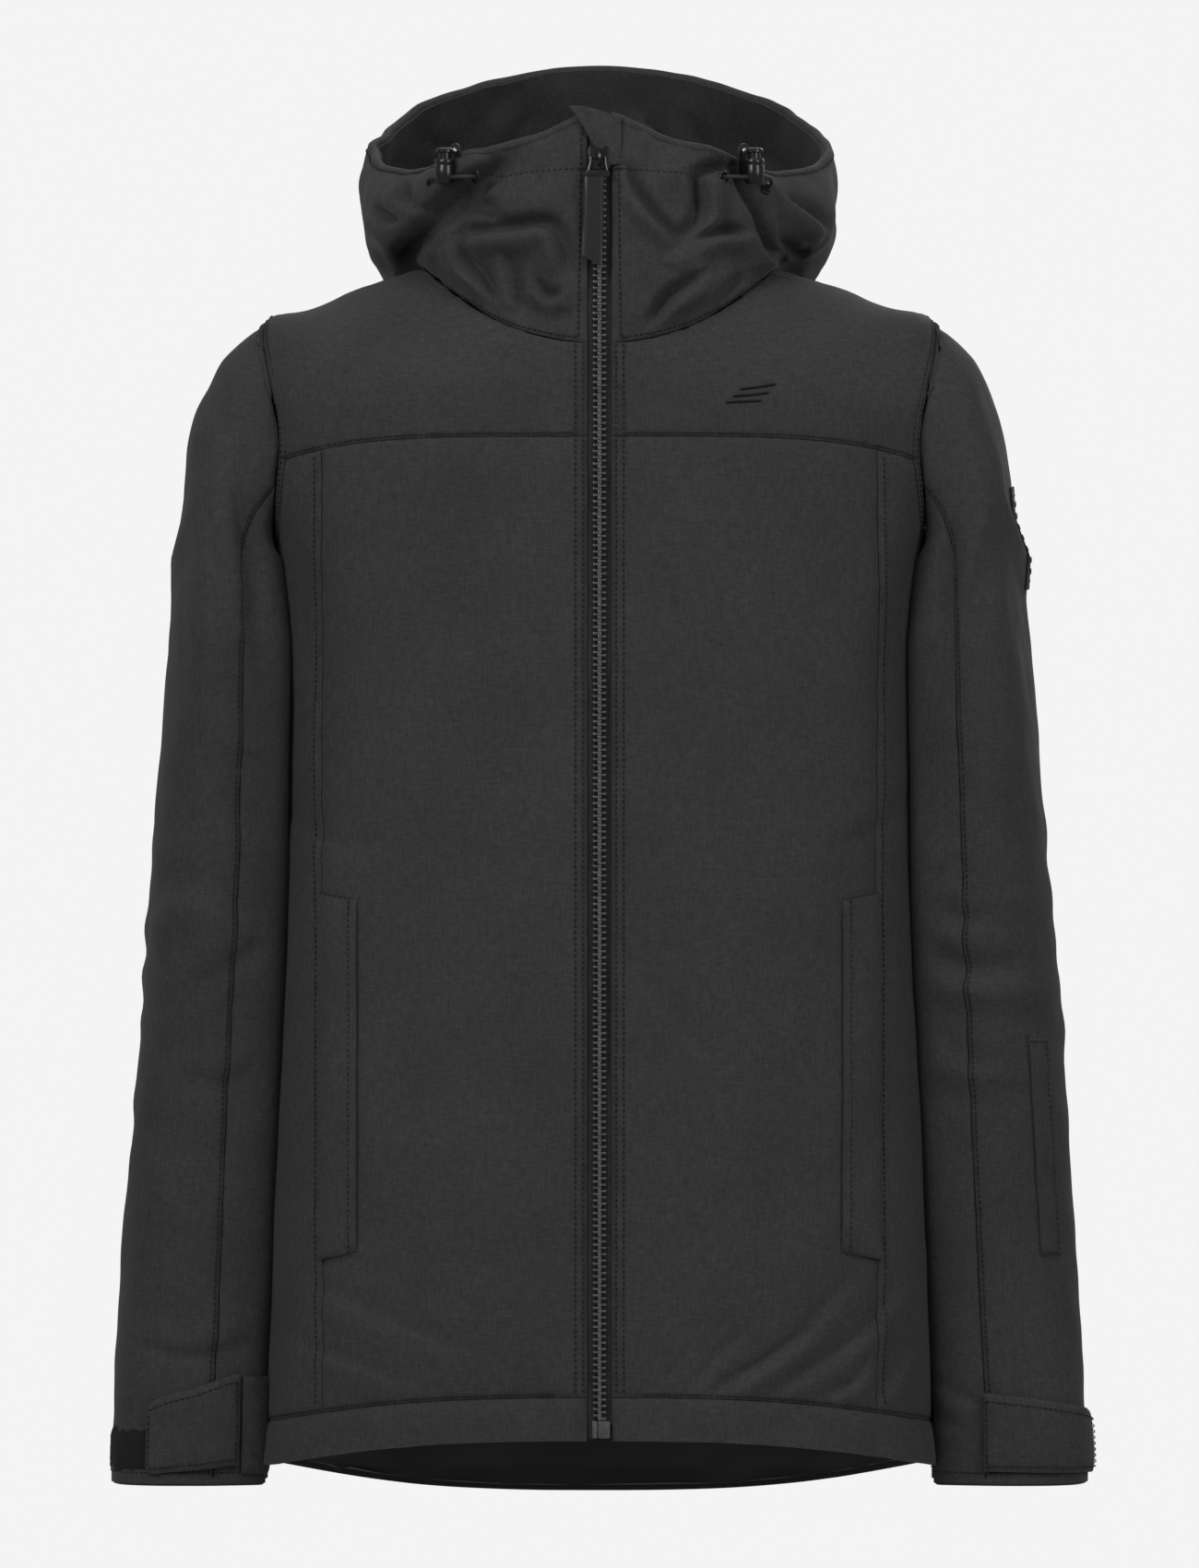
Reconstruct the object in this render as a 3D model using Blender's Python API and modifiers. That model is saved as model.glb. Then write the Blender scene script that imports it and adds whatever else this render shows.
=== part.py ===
"""A hooded ski jacket, zipped to the chin and hung by the loop inside its neck.

Metres, +Z up. The wearer faces -Y, so the wearer's left is +X. The origin is inside the hanger loop at
the back of the neck. Each fabric panel is a curved slab cut from one smooth surface: the torso, the
collar and hood, or a sleeve. Layers lie at their own depth under that surface.
"""
import math

import bpy
import bmesh
import numpy as np
from mathutils import Matrix, Vector

# Layers: how far under the outer surface each starts, and its thickness
SHELL_DEPTH, SHELL = 0.0, 0.0024
BAG_DEPTH, BAG = 0.0028, 0.0014
LINING_DEPTH, LINING = 0.0046, 0.0048
SEAM, LINING_SEAM = 0.0006, 0.0012   # half the gap that two sewn panels keep
NECK_SEAM = 0.0030                # how far the collar starts above the torso

# The front zip: a straight line up the centre front, leaning back as it rises
ZIP_BOTTOM = (-0.190, -0.650)     # y and z of its lower end
ZIP_TOP = (-0.152, 0.088)
ZIP_LEAN = math.atan2(ZIP_TOP[0] - ZIP_BOTTOM[0], ZIP_TOP[1] - ZIP_BOTTOM[1])
ZIP_LENGTH = math.hypot(ZIP_TOP[0] - ZIP_BOTTOM[0], ZIP_TOP[1] - ZIP_BOTTOM[1])
FRONT_EDGE = 0.0072               # where each front panel stops beside the zip
SLIDER_HEIGHT = 0.0625

# Torso rings from the hem to the neck seam:
# height at the front, side and back, half width, back y, squareness of the section
TORSO = [
    (-0.650, -0.668, -0.690, 0.1900, 0.050, 2.8),     # 0 hem edge
    (-0.626, -0.643, -0.665, 0.1890, 0.050, 2.8),     # 1 hem seam
    (-0.520, -0.525, -0.530, 0.1840, 0.044, 2.8),     # 2
    (-0.360, -0.360, -0.360, 0.1770, 0.034, 2.9),     # 3 waist
    (-0.200, -0.200, -0.200, 0.1780, 0.050, 3.2),     # 4 underarm
    (-0.0926, -0.110, -0.105, 0.1890, 0.052, 4.5),    # 5 yoke seam
    (-0.0720, -0.0262, -0.045, 0.1880, 0.042, 3.9),   # 6 shoulder point
    (-0.0570, -0.0105, -0.018, 0.1480, 0.029, 2.6),   # 7
    (-0.0406, 0.0040, 0.000, 0.0990, 0.017, 2.2),     # 8 neck seam
]
YOKE_RING, SHOULDER_RING, NECK_RING = 5, 6, 8
PRINCESS = 0.155                  # x of the seam that holds the hand pocket
FRONT_STEPS = (FRONT_EDGE, 0.035, 0.070, 0.105, 0.133, PRINCESS)
SIDE_STEPS = (0.0, 0.36, 0.70, 1.0)
BACK_COLUMNS = 7                  # columns from each side seam to the centre back

# Armhole: a circle seen from the side, so that the sleeve can swing in it
ARMHOLE = (-0.064, -0.094)        # y and z of its centre
ARMHOLE_CUT = 0.0695              # radius left open in the torso's shell
LINING_CUT = 0.0740               # and in its lining
SLEEVE_HEAD = 0.0660              # radius of the sleeve where it enters

# Sleeve sections: inner x and z, outer x and z, middle y, half depth
SLEEVE = [
    (0.1820, -0.1600, 0.1880, -0.0285, -0.064, 0.0660),   # 0 armhole
    (0.1862, -0.1720, 0.2100, -0.0470, -0.064, 0.0675),
    (0.1852, -0.1850, 0.2280, -0.0920, -0.064, 0.0710),
    (0.1832, -0.1990, 0.2390, -0.1480, -0.064, 0.0745),
    (0.1812, -0.2150, 0.2460, -0.2060, -0.064, 0.0765),   # 4 underarm level
    (0.1812, -0.2800, 0.2515, -0.2760, -0.064, 0.0750),
    (0.1822, -0.3640, 0.2570, -0.3640, -0.065, 0.0700),   # 6 elbow
    (0.1860, -0.4680, 0.2645, -0.4680, -0.068, 0.0610),
    (0.1905, -0.5720, 0.2712, -0.5720, -0.072, 0.0520),   # 8
    (0.1935, -0.6300, 0.2745, -0.6300, -0.075, 0.0470),
    (0.1940, -0.6776, 0.2745, -0.6776, -0.076, 0.0440),   # 10 cuff edge
]
SLEEVE_SQUARE = 2.4
ELBOW_RING, CUFF_RING = 6.0, 10.0
SLEEVE_COLUMNS = 16
ELBOW_GAP = 0.03                  # in rings
TAB_RINGS = {"left": (8.92, 9.35, 9.84), "right": (8.70, 9.3, 9.84)}
PATCH_RINGS = (9.28, 9.54, 9.80)
LINING_BOTTOM = 9.92
POCKET_RINGS = (6.6, 7.2, 7.78)   # sleeve pocket, on the left forearm
SHOULDER_PIVOT = (0.190, -0.064, -0.094)   # the sleeve swings about this line, along X
ELBOW_PIVOT = (0.2196, -0.135, -0.364)
TAB_COLUMNS = {"left": (0, 5), "right": (3, 6)}        # of the cuff's tab, sewn down at the last
PATCH_COLUMNS = {"left": (-3, 3), "right": (-2, 4)}    # of the loop patch round the outside
TAB_LIFT, TAB = 0.0022, 0.0020

# Collar and hood: rings of points from the neck seam to the rim, at these angles round the neck
HOOD_ANGLES = (0, 25, 50, 75, 100, 130, 155, 180)
HOOD = [
    # ring 0, the neck seam, comes from the torso
    [(0, None, -0.0150), (0.0440, -0.1500, -0.0120), (0.0790, -0.1270, 0.0000), (0.1030, -0.0920, 0.0110),
     (0.1090, -0.0500, 0.0120), (0.0960, 0.0230, -0.0040), (0.0520, 0.0480, -0.0200), (0, 0.0560, -0.0240)],
    [(0, None, 0.0100), (0.0430, -0.1500, 0.0120), (0.0800, -0.1260, 0.0140), (0.1120, -0.0880, 0.0190),
     (0.1220, -0.0420, 0.0170), (0.1120, 0.0580, -0.0190), (0.0620, 0.0900, -0.0400), (0, 0.1010, -0.0450)],
    [(0, None, 0.0350), (0.0420, -0.1490, 0.0360), (0.0800, -0.1250, 0.0300), (0.1180, -0.0850, 0.0280),
     (0.1310, -0.0320, 0.0280), (0.1240, 0.0880, 0.0010), (0.0700, 0.1310, -0.0050), (0, 0.1470, -0.0060)],
    [(0, None, 0.0620), (0.0400, -0.1480, 0.0560), (0.0760, -0.1260, 0.0485), (0.1150, -0.0850, 0.0440),
     (0.1330, -0.0230, 0.0540), (0.1240, 0.0920, 0.0500), (0.0700, 0.1400, 0.0520), (0, 0.1570, 0.0540)],
    [(0, None, 0.0865), (0.0370, -0.1470, 0.0735), (0.0700, -0.1280, 0.0650), (0.1020, -0.0880, 0.0570),
     (0.1310, -0.0180, 0.0695), (0.1120, 0.0750, 0.0980), (0.0620, 0.1220, 0.1195), (0, 0.1400, 0.1284)],
]
HOOD_SPLIT = 62.5                 # angle where the collar ends and the hood's side panel starts
HOOD_CENTER = 142.5               # angle where the side panel meets the centre panel
HOOD_PIVOT = (-0.110, 0.0640)     # y and z of the line that the hood lifts about

# Cord locks on the collar
LOCK_PLACE = (0.0790, -0.1250, 0.0560)   # on the left side of the collar
LOCK_TURN = math.radians(42)      # the collar's direction there, from X towards +Y
LOCK_STANDOFF, TAB_STANDOFF = 0.0110, 0.0026
LOCK_RADIUS, LOCK_HALF = 0.0056, 0.0070
CORD_RADIUS = 0.00115
CORD_DROP = -0.0034               # height of the cord's bore in the lock
CORD_ROUTE = [                    # along the collar, out from it, up, from the lock's place
    (-0.0160, 0.0042, -0.0034), (-0.0155, 0.0085, -0.0034), (-0.0110, 0.0110, -0.0034),
    (0.0, 0.0110, -0.0034), (0.0110, 0.0110, -0.0034), (0.0150, 0.0090, -0.0060),
    (0.0160, 0.0046, -0.0090)]
BUTTON_RECESS = 0.0042

CHARCOAL = (0.040, 0.039, 0.041)
BLACK = (0.010, 0.010, 0.011)


def clear_scene():
    for obj in list(bpy.data.objects):
        bpy.data.objects.remove(obj, do_unlink=True)


def collection(name):
    group = bpy.data.collections.new(name)
    bpy.context.scene.collection.children.link(group)
    return group


def material(name, colour, roughness, metallic=0.0):
    mat = bpy.data.materials.new(name)
    mat.use_nodes = True
    shader = mat.node_tree.nodes["Principled BSDF"]
    shader.inputs["Base Color"].default_value = (*colour, 1.0)
    shader.inputs["Roughness"].default_value = roughness
    shader.inputs["Metallic"].default_value = metallic
    return mat


def add_object(name, data, mat, parent=None):
    obj = bpy.data.objects.new(name, data)
    data.materials.append(mat)
    JACKET.objects.link(obj)
    obj.parent = parent
    return obj


# ---------------------------------------------------------------- the three surfaces

def spline(table, t):
    """The row of a table at a fractional index, on a smooth curve through its rows."""
    last = len(table) - 1
    t = min(max(t, 0.0), float(last))
    i = min(int(t), last - 1)
    f = t - i
    a, b, c, d = (np.array(table[min(max(k, 0), last)], float) for k in range(i - 1, i + 3))
    return b + 0.5 * f * (c - a + f * (2 * a - 5 * b + 4 * c - d + f * (3 * (b - c) + d - a)))


def power(value, exponent):
    return math.copysign(abs(value) ** exponent, value)


def zip_y(z):
    return ZIP_BOTTOM[0] + (z - ZIP_BOTTOM[1]) * math.tan(ZIP_LEAN)


def torso_point(ring, angle):
    """A point of the torso: angle 0 at the zip, 90 at the left side seam, 180 at the centre back."""
    z_front, z_side, z_back, half, y_back, square = spline(TORSO, ring)
    middle, depth = (y_back + zip_y(z_front)) / 2, (y_back - zip_y(z_front)) / 2
    s, c = math.sin(math.radians(angle)), math.cos(math.radians(angle))
    x = half * power(s, 2 / square)
    y = middle - depth * power(c, 2 / square)
    z = z_side + (z_front - z_side) * max(c, 0) ** 2 + (z_back - z_side) * max(-c, 0) ** 2
    return np.array((x, y, z))


def torso_angle(ring, x):
    """The angle of the front point that lies at x."""
    half, square = spline(TORSO, ring)[[3, 5]]
    return math.degrees(math.asin(min(1.0, (x / half) ** (square / 2))))


def armhole_edge(ring, start, radius=ARMHOLE_CUT):
    """The angle where the armhole begins, coming from start (0 front, 180 back), or the side seam."""
    step = 0.25 if start < 90 else -0.25
    angle = float(start)
    while (angle - 90) * (start - 90) > 0:
        point = torso_point(ring, angle)
        if math.hypot(point[1] - ARMHOLE[0], point[2] - ARMHOLE[1]) < radius:
            return angle
        angle += step
    return 90.0


def ring_at(z, column=0):
    """The torso ring whose height is z at the front (column 0) or at the side (column 1)."""
    low, high = 0.0, float(NECK_RING)
    for _ in range(40):
        middle = (low + high) / 2
        if spline(TORSO, middle)[column] < z:
            low = middle
        else:
            high = middle
    return (low + high) / 2


def sleeve_point(ring, angle):
    """A point of the left sleeve: angle 0 outside, 90 in front, 180 beside the torso."""
    x_in, z_in, x_out, z_out, y_mid, depth = spline(SLEEVE, ring)
    c, s = math.cos(math.radians(angle)), math.sin(math.radians(angle))
    across = power(c, 2 / SLEEVE_SQUARE)
    x = (x_in + x_out) / 2 + (x_out - x_in) / 2 * across
    z = (z_in + z_out) / 2 + (z_out - z_in) / 2 * across
    y = y_mid - depth * power(s, 2 / SLEEVE_SQUARE)
    blend = max(0.0, 1.0 - ring)
    if blend:
        head = armhole_point(angle)
        x, y, z = (1 - blend) * np.array((x, y, z)) + blend * head
    return np.array((x, y, z))


def armhole_point(angle):
    """A point of the sleeve's seam: a circle seen from the side, lying on the torso."""
    z = ARMHOLE[1] + SLEEVE_HEAD * math.cos(math.radians(angle))
    y = ARMHOLE[0] - SLEEVE_HEAD * math.sin(math.radians(angle))
    z_front, _, _, half, y_back, square = spline(TORSO, ring_at(z, 1))
    middle, depth = (y_back + zip_y(z_front)) / 2, (y_back - zip_y(z_front)) / 2
    x = half * (1 - min(0.9, abs((y - middle) / depth) ** square)) ** (1 / square)
    return np.array((x, y, z))


def hood_rings():
    """The cage of the collar and hood: a list of points round the neck for each ring.

    Each list starts and ends with one mirrored point, so that the curve is smooth across the middle.
    """
    cage = [[torso_point(NECK_RING, angle) + (0, 0, NECK_SEAM) for angle in HOOD_ANGLES]]
    for ring in HOOD:
        cage.append([np.array((x, zip_y(z) if y is None else y, z)) for x, y, z in ring])
    return [[row[1] * (-1, 1, 1)] + row + [row[-2] * (-1, 1, 1)] for row in cage]


def hood_point(ring, angle):
    """A point of the collar and hood: ring 0 at the neck seam, ring 5 at the rim."""
    turn = float(np.interp(abs(angle), HOOD_ANGLES, range(len(HOOD_ANGLES))))
    around = [spline(row, turn + 1) for row in HOOD_CAGE]
    x, y, z = spline(around, ring)
    return np.array((math.copysign(x, angle) if angle else 0.0, y, z))


def normal_at(surface, ring, angle, centre):
    """The outward normal of a surface, away from a point inside it."""
    step_r, step_a = 0.02, 0.4
    along = surface(ring + step_r, angle) - surface(ring - step_r, angle)
    around = surface(ring, angle + step_a) - surface(ring, angle - step_a)
    normal = np.cross(around, along)
    normal /= np.linalg.norm(normal)
    return normal if normal @ (surface(ring, angle) - centre) > 0 else -normal


def torso_centre(point):
    return np.array((0.0, -0.066, min(point[2], -0.15)))


def sleeve_centre(point):
    z = min(point[2], -0.14)
    return np.array((0.222 if z < -0.2 else 0.205, -0.066, z))


def hood_centre(point):
    return np.array((0.0, 0.0 if point[1] > -0.05 else -0.05, 0.045))


# ---------------------------------------------------------------- solids

def slab(name, surface, centre, rows, depth, thickness, mat, side=1, trim=(1, 1, 1, 1), closed=False,
         seam=SEAM):
    """A closed slab under a surface.

    rows is a list of rows of (ring, angle). The slab starts depth under the surface and is as thick as
    thickness. trim says which borders (first row, last row, first column, last column) draw back from
    a seam. side -1 mirrors it to the wearer's right, and closed joins the last column to the first.
    """
    outer, inner = [], []
    for row in rows:
        points = [surface(ring, angle) for ring, angle in row]
        normals = [normal_at(surface, *place, centre(point)) for place, point in zip(row, points)]
        outer.append([point - normal * depth for point, normal in zip(points, normals)])
        inner.append([point - normal * (depth + thickness) for point, normal in zip(points, normals)])
    for grid in (outer, inner):
        draw_back(grid, trim, seam)
    mesh = bpy.data.meshes.new(name)
    bm = bmesh.new()
    layers = [[[bm.verts.new(Vector((p[0] * side, p[1], p[2]))) for p in row] for row in grid]
              for grid in (outer, inner)]
    wide = len(rows[0])
    spans = range(wide if closed else wide - 1)
    for grid in layers:
        for lower, upper in zip(grid, grid[1:]):
            for j in spans:
                k = (j + 1) % wide
                bm.faces.new((lower[j], lower[k], upper[k], upper[j]))
    for i in (0, len(rows) - 1):
        for j in spans:
            k = (j + 1) % wide
            bm.faces.new((layers[0][i][j], layers[0][i][k], layers[1][i][k], layers[1][i][j]))
    if not closed:
        for i in range(len(rows) - 1):
            for j in (0, wide - 1):
                bm.faces.new((layers[0][i][j], layers[0][i + 1][j], layers[1][i + 1][j], layers[1][i][j]))
    bmesh.ops.recalc_face_normals(bm, faces=bm.faces)
    if bm.calc_volume(signed=True) < 0:
        bmesh.ops.reverse_faces(bm, faces=bm.faces)
    bm.to_mesh(mesh)
    bm.free()
    mesh.shade_smooth()
    mesh.set_sharp_from_angle(angle=math.radians(40))
    return add_object(name, mesh, mat)


def draw_back(grid, trim, seam):
    """Move the chosen borders of a grid of points inward by half a seam gap."""
    def toward(point, target):
        way = target - point
        length = np.linalg.norm(way)
        return point + way * min(seam / length, 0.3) if length > 1e-9 else point
    first_row, last_row, first_column, last_column = trim
    if first_row:
        grid[0] = [toward(p, q) for p, q in zip(grid[0], grid[1])]
    if last_row:
        grid[-1] = [toward(p, q) for p, q in zip(grid[-1], grid[-2])]
    for row in grid:
        if first_column:
            row[0] = toward(row[0], row[1])
        if last_column:
            row[-1] = toward(row[-1], row[-2])


def hang_on(obj, place):
    """Put a piece's origin on the line that it turns about."""
    obj.data.transform(Matrix.Translation(-Vector(place)))
    obj.location = place


def flat_piece(name, outlines, thickness, mat, parent=None):
    """A flat outline with rounded thickness: a filled 2D curve. The first outline is the outside."""
    curve = bpy.data.curves.new(name, "CURVE")
    curve.dimensions = "2D"
    curve.fill_mode = "BOTH"
    curve.extrude = thickness / 2
    for outline in outlines:
        run = curve.splines.new("POLY")
        run.points.add(len(outline) - 1)
        for point, (x, y) in zip(run.points, outline):
            point.co = (x, y, 0.0, 1.0)
        run.use_cyclic_u = True
    return add_object(name, curve, mat, parent)


def prism(name, outline, thickness, mat, parent=None):
    """A flat outline as a mesh, for a piece that a Boolean joins."""
    mesh = bpy.data.meshes.new(name)
    bm = bmesh.new()
    face = bm.faces.new([bm.verts.new((x, y, -thickness / 2)) for x, y in outline])
    top = bmesh.ops.extrude_face_region(bm, geom=[face])["geom"]
    raised = [item for item in top if isinstance(item, bmesh.types.BMVert)]
    bmesh.ops.translate(bm, verts=raised, vec=(0, 0, thickness))
    bmesh.ops.recalc_face_normals(bm, faces=bm.faces)
    bm.to_mesh(mesh)
    bm.free()
    return add_object(name, mesh, mat, parent)


def tube(name, points, radius, mat):
    curve = bpy.data.curves.new(name, "CURVE")
    curve.dimensions = "3D"
    curve.bevel_depth = radius
    curve.bevel_resolution = 2
    curve.use_fill_caps = True
    run = curve.splines.new("POLY")
    run.points.add(len(points) - 1)
    for point, place in zip(run.points, points):
        point.co = (*place, 1.0)
    return add_object(name, curve, mat)


def block(name, low, high, mat, parent=None, bevel=0.0):
    """A box between two corners, in its parent's axes."""
    mesh = bpy.data.meshes.new(name)
    bm = bmesh.new()
    bmesh.ops.create_cube(bm, size=1.0)
    size = Vector(high) - Vector(low)
    middle = (Vector(high) + Vector(low)) / 2
    for vert in bm.verts:
        vert.co = Vector(a * b for a, b in zip(vert.co, size)) + middle
    bm.to_mesh(mesh)
    bm.free()
    obj = add_object(name, mesh, mat, parent)
    if bevel:
        round_edges = obj.modifiers.new("rounded", "BEVEL")
        round_edges.width = bevel
        round_edges.segments = 1
    return obj


def turned(name, profile, mat, location=(0, 0, 0), steps=16, parent=None):
    """A round piece: a profile of (radius, height) from the top, turned about Z."""
    mesh = bpy.data.meshes.new(name)
    mesh.from_pydata([(r, 0.0, z) for r, z in profile], [(i, i + 1) for i in range(len(profile) - 1)], [])
    obj = add_object(name, mesh, mat, parent)
    obj.location = location
    screw = obj.modifiers.new("turned", "SCREW")
    screw.steps = screw.render_steps = steps
    screw.use_merge_vertices = True
    screw.merge_threshold = 0.00001
    screw.use_smooth_shade = True
    return obj


def as_mesh(obj):
    """The same piece as a plain mesh, ready for a Boolean."""
    bpy.context.view_layer.update()
    graph = bpy.context.evaluated_depsgraph_get()
    mesh = bpy.data.meshes.new_from_object(obj.evaluated_get(graph))
    bm = bmesh.new()
    bm.from_mesh(mesh)
    bmesh.ops.remove_doubles(bm, verts=bm.verts, dist=0.000005)
    bmesh.ops.recalc_face_normals(bm, faces=bm.faces)
    bm.to_mesh(mesh)
    bm.free()
    name, place, parent = obj.name, obj.matrix_world.copy(), obj.parent
    bpy.data.objects.remove(obj, do_unlink=True)
    solid = bpy.data.objects.new(name, mesh)
    JACKET.objects.link(solid)
    solid.parent = parent
    solid.matrix_world = place
    return solid


def boolean(obj, tool, operation):
    """Join or cut obj with tool, which stays as a hidden guide."""
    change = obj.modifiers.new(operation.lower(), "BOOLEAN")
    change.operation = operation
    change.object = tool
    change.solver = "EXACT"
    JACKET.objects.unlink(tool)
    CUTTERS.objects.link(tool)
    tool.hide_render = True
    tool.display_type = "WIRE"


# ---------------------------------------------------------------- torso

def front_columns(ring, cut=ARMHOLE_CUT):
    """The angles of the front's columns at one ring: zip, princess seam, armhole or side seam."""
    princess = torso_angle(ring, PRINCESS) if ring < SHOULDER_RING else None
    edge = armhole_edge(ring, 0, cut)
    if princess is None or princess > edge - 4:
        start = torso_angle(ring, FRONT_EDGE)
        share = np.linspace(0, 1, len(FRONT_STEPS) + len(SIDE_STEPS) - 1)
        return [start + (edge - start) * f for f in share]
    front = [torso_angle(ring, x) for x in FRONT_STEPS]
    return front + [princess + (edge - princess) * f for f in SIDE_STEPS[1:]]


def back_columns(ring, cut=ARMHOLE_CUT):
    """The angles of the whole back at one ring, from the left side or armhole round to the right."""
    edge = armhole_edge(ring, 180, cut)
    left = [edge + (180 - edge) * i / BACK_COLUMNS for i in range(BACK_COLUMNS + 1)]
    return left + [360 - angle for angle in reversed(left[:-1])]


def lining_front_columns(ring):
    return front_columns(ring, LINING_CUT)


def lining_back_columns(ring):
    return back_columns(ring, LINING_CUT)


def patch(columns, rings, first=0, last=None):
    """The rows of (ring, angle) between two columns."""
    return [[(ring, angle) for angle in columns(ring)[first:last]] for ring in rings]


def torso_rings():
    """Every ring that a torso panel has a row of points on, by the seam that starts it."""
    pocket_low, pocket_high = ring_at(-0.547), ring_at(-0.346)
    lower = [1, pocket_low, 2.5, pocket_high, 3.5, ring_at(-0.164, 1)]
    armhole = [ring_at(z, 1) for z in (-0.158, -0.146, -0.128)]
    upper = [ring_at(z, 1) for z in (-0.086, -0.063, -0.044, -0.031)]
    return {
        "hem": [0, 0.5, 1],
        "body": lower + armhole + [YOKE_RING],
        "yoke": [YOKE_RING] + upper + [SHOULDER_RING, 6.5, 7, 7.5, NECK_RING],
        "pocket": [pocket_low, 2.5, pocket_high],
        "lining": [0.5] + lower + armhole[1:] + [YOKE_RING, upper[1], upper[3], 6.5, 7.2, NECK_RING],
    }


def add_torso(shell, quilt):
    """Panels, hem bands, pocket welts and bags, and the quilted lining."""
    rings = torso_rings()
    seam = len(FRONT_STEPS) - 1
    everything = rings["lining"]
    for side, hand in ((1, "left"), (-1, "right")):
        def piece(name, rows, depth, thickness, mat, trim=(1, 1, 1, 1)):
            slab(f"{name}_{hand}", torso_point, torso_centre, rows, depth, thickness, mat, side, trim)
        piece("front_panel", patch(front_columns, rings["body"], 0, seam + 1), SHELL_DEPTH, SHELL,
              shell, (1, 1, 0, 1))
        piece("front_side_panel", patch(front_columns, rings["body"], seam), SHELL_DEPTH, SHELL, shell)
        piece("front_yoke", patch(front_columns, rings["yoke"]), SHELL_DEPTH, SHELL, shell, (1, 1, 0, 1))
        piece("hem_band", patch(front_columns, rings["hem"]), SHELL_DEPTH, SHELL, shell, (0, 1, 0, 1))
        piece("hand_pocket_welt", patch(front_columns, rings["pocket"], seam - 1, seam + 1),
              -0.0026, 0.0020, shell)
        piece("hand_pocket_bag", patch(front_columns, rings["pocket"], seam - 3, seam + 1),
              BAG_DEPTH, BAG, quilt)
        piece("lining_front", patch(lining_front_columns, everything, 1), LINING_DEPTH, LINING, quilt)
    for name, part in (("back_panel", "body"), ("back_yoke", "yoke"), ("hem_band_back", "hem")):
        slab(name, torso_point, torso_centre, patch(back_columns, rings[part]), SHELL_DEPTH, SHELL, shell,
             trim=(part != "hem", 1, 1, 1))
    slab("lining_back", torso_point, torso_centre, patch(lining_back_columns, everything),
         LINING_DEPTH, LINING, quilt)


# ---------------------------------------------------------------- collar and hood

def add_hood(shell, quilt):
    """Collar fronts, the three hood panels and their linings."""
    rings = [0, 0.5, 1, 1.5, 2, 3, 4, 5]
    collar = [None, 14, 26, 38, 50, HOOD_SPLIT]
    side_panel = [HOOD_SPLIT, 75, 88, 100, 115, 130, HOOD_CENTER]
    centre_panel = [HOOD_CENTER, 155, 167, 180]

    def rows(angles):
        table = []
        for ring in rings:
            edge = 5.0
            while hood_point(ring, edge)[0] > FRONT_EDGE:
                edge -= 0.05
            table.append([(ring, edge if angle is None else angle) for angle in angles])
        return table

    def piece(name, table, depth, thickness, mat, trim=(1, 0, 1, 1), side=1, seam=SEAM):
        return slab(name, hood_ring_point, hood_centre, table, depth, thickness, mat, side, trim, seam=seam)

    lifting = []
    for side, hand in ((1, "left"), (-1, "right")):
        piece(f"collar_{hand}", rows(collar), SHELL_DEPTH, SHELL, shell, (1, 0, 0, 1), side)
        lifting.append(piece(f"hood_side_{hand}", rows(side_panel), SHELL_DEPTH, SHELL, shell, side=side))
        piece(f"collar_lining_{hand}", rows(collar[1:]), LINING_DEPTH, 0.0030, quilt, side=side,
              seam=LINING_SEAM)
    whole = centre_panel + [360 - angle for angle in reversed(centre_panel[:-1])]
    lining = side_panel + centre_panel[1:]
    lining += [360 - angle for angle in reversed(lining[:-1])]
    lifting.append(piece("hood_center_panel", rows(whole), SHELL_DEPTH, SHELL, shell))
    lifting.append(piece("hood_lining", rows(lining), LINING_DEPTH + 0.0010, 0.0028, quilt, seam=LINING_SEAM))
    for obj in lifting:
        hang_on(obj, (0.0, *HOOD_PIVOT))


def hood_ring_point(ring, angle):
    """hood_point with angles that run on past the centre back, up to 360."""
    return hood_point(ring, angle if angle <= 180 else angle - 360)


# ---------------------------------------------------------------- sleeves

def mirrored(place, side):
    return (side * place[0], place[1], place[2])


def add_sleeve(hand, side, shell, quilt, patch_mat):
    """An upper sleeve and a forearm, their linings, and the cuff's tab and loop patch."""
    step = 360 / SLEEVE_COLUMNS

    def part(name, rings, depth, thickness, mat, pivot, columns=None, trim=(1, 1, 1, 1)):
        first, last = columns or (0, SLEEVE_COLUMNS - 1)
        rows = [[(ring, step * i) for i in range(first, last + 1)] for ring in rings]
        obj = slab(f"{name}_{hand}", sleeve_point, sleeve_centre, rows, depth, thickness, mat, side,
                   trim, closed=columns is None)
        hang_on(obj, mirrored(pivot, side))

    upper = [0, 0.5, 1, 2, 3, 4, 5, ELBOW_RING - ELBOW_GAP]
    lower = [ELBOW_RING + ELBOW_GAP, *POCKET_RINGS, 8.7, 9.3, 9.84, CUFF_RING]
    lining = [lower[0], *POCKET_RINGS, 9.0, LINING_BOTTOM]
    part("sleeve_upper", upper, SHELL_DEPTH, SHELL, shell, SHOULDER_PIVOT, trim=(0, 0, 0, 0))
    part("sleeve_lower", lower, SHELL_DEPTH, SHELL, shell, ELBOW_PIVOT, trim=(0, 0, 0, 0))
    part("sleeve_lining_upper", upper[1:], LINING_DEPTH, LINING, quilt, SHOULDER_PIVOT, trim=(1, 0, 0, 0))
    part("sleeve_lining_lower", lining, LINING_DEPTH, LINING, quilt, ELBOW_PIVOT, trim=(0, 1, 0, 0))
    part("cuff_loop_patch", PATCH_RINGS, -0.0016, 0.0012, patch_mat, ELBOW_PIVOT, PATCH_COLUMNS[hand])
    part("cuff_tab", TAB_RINGS[hand], -TAB_LIFT - TAB, TAB, shell, tab_pivot(hand), TAB_COLUMNS[hand])


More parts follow.
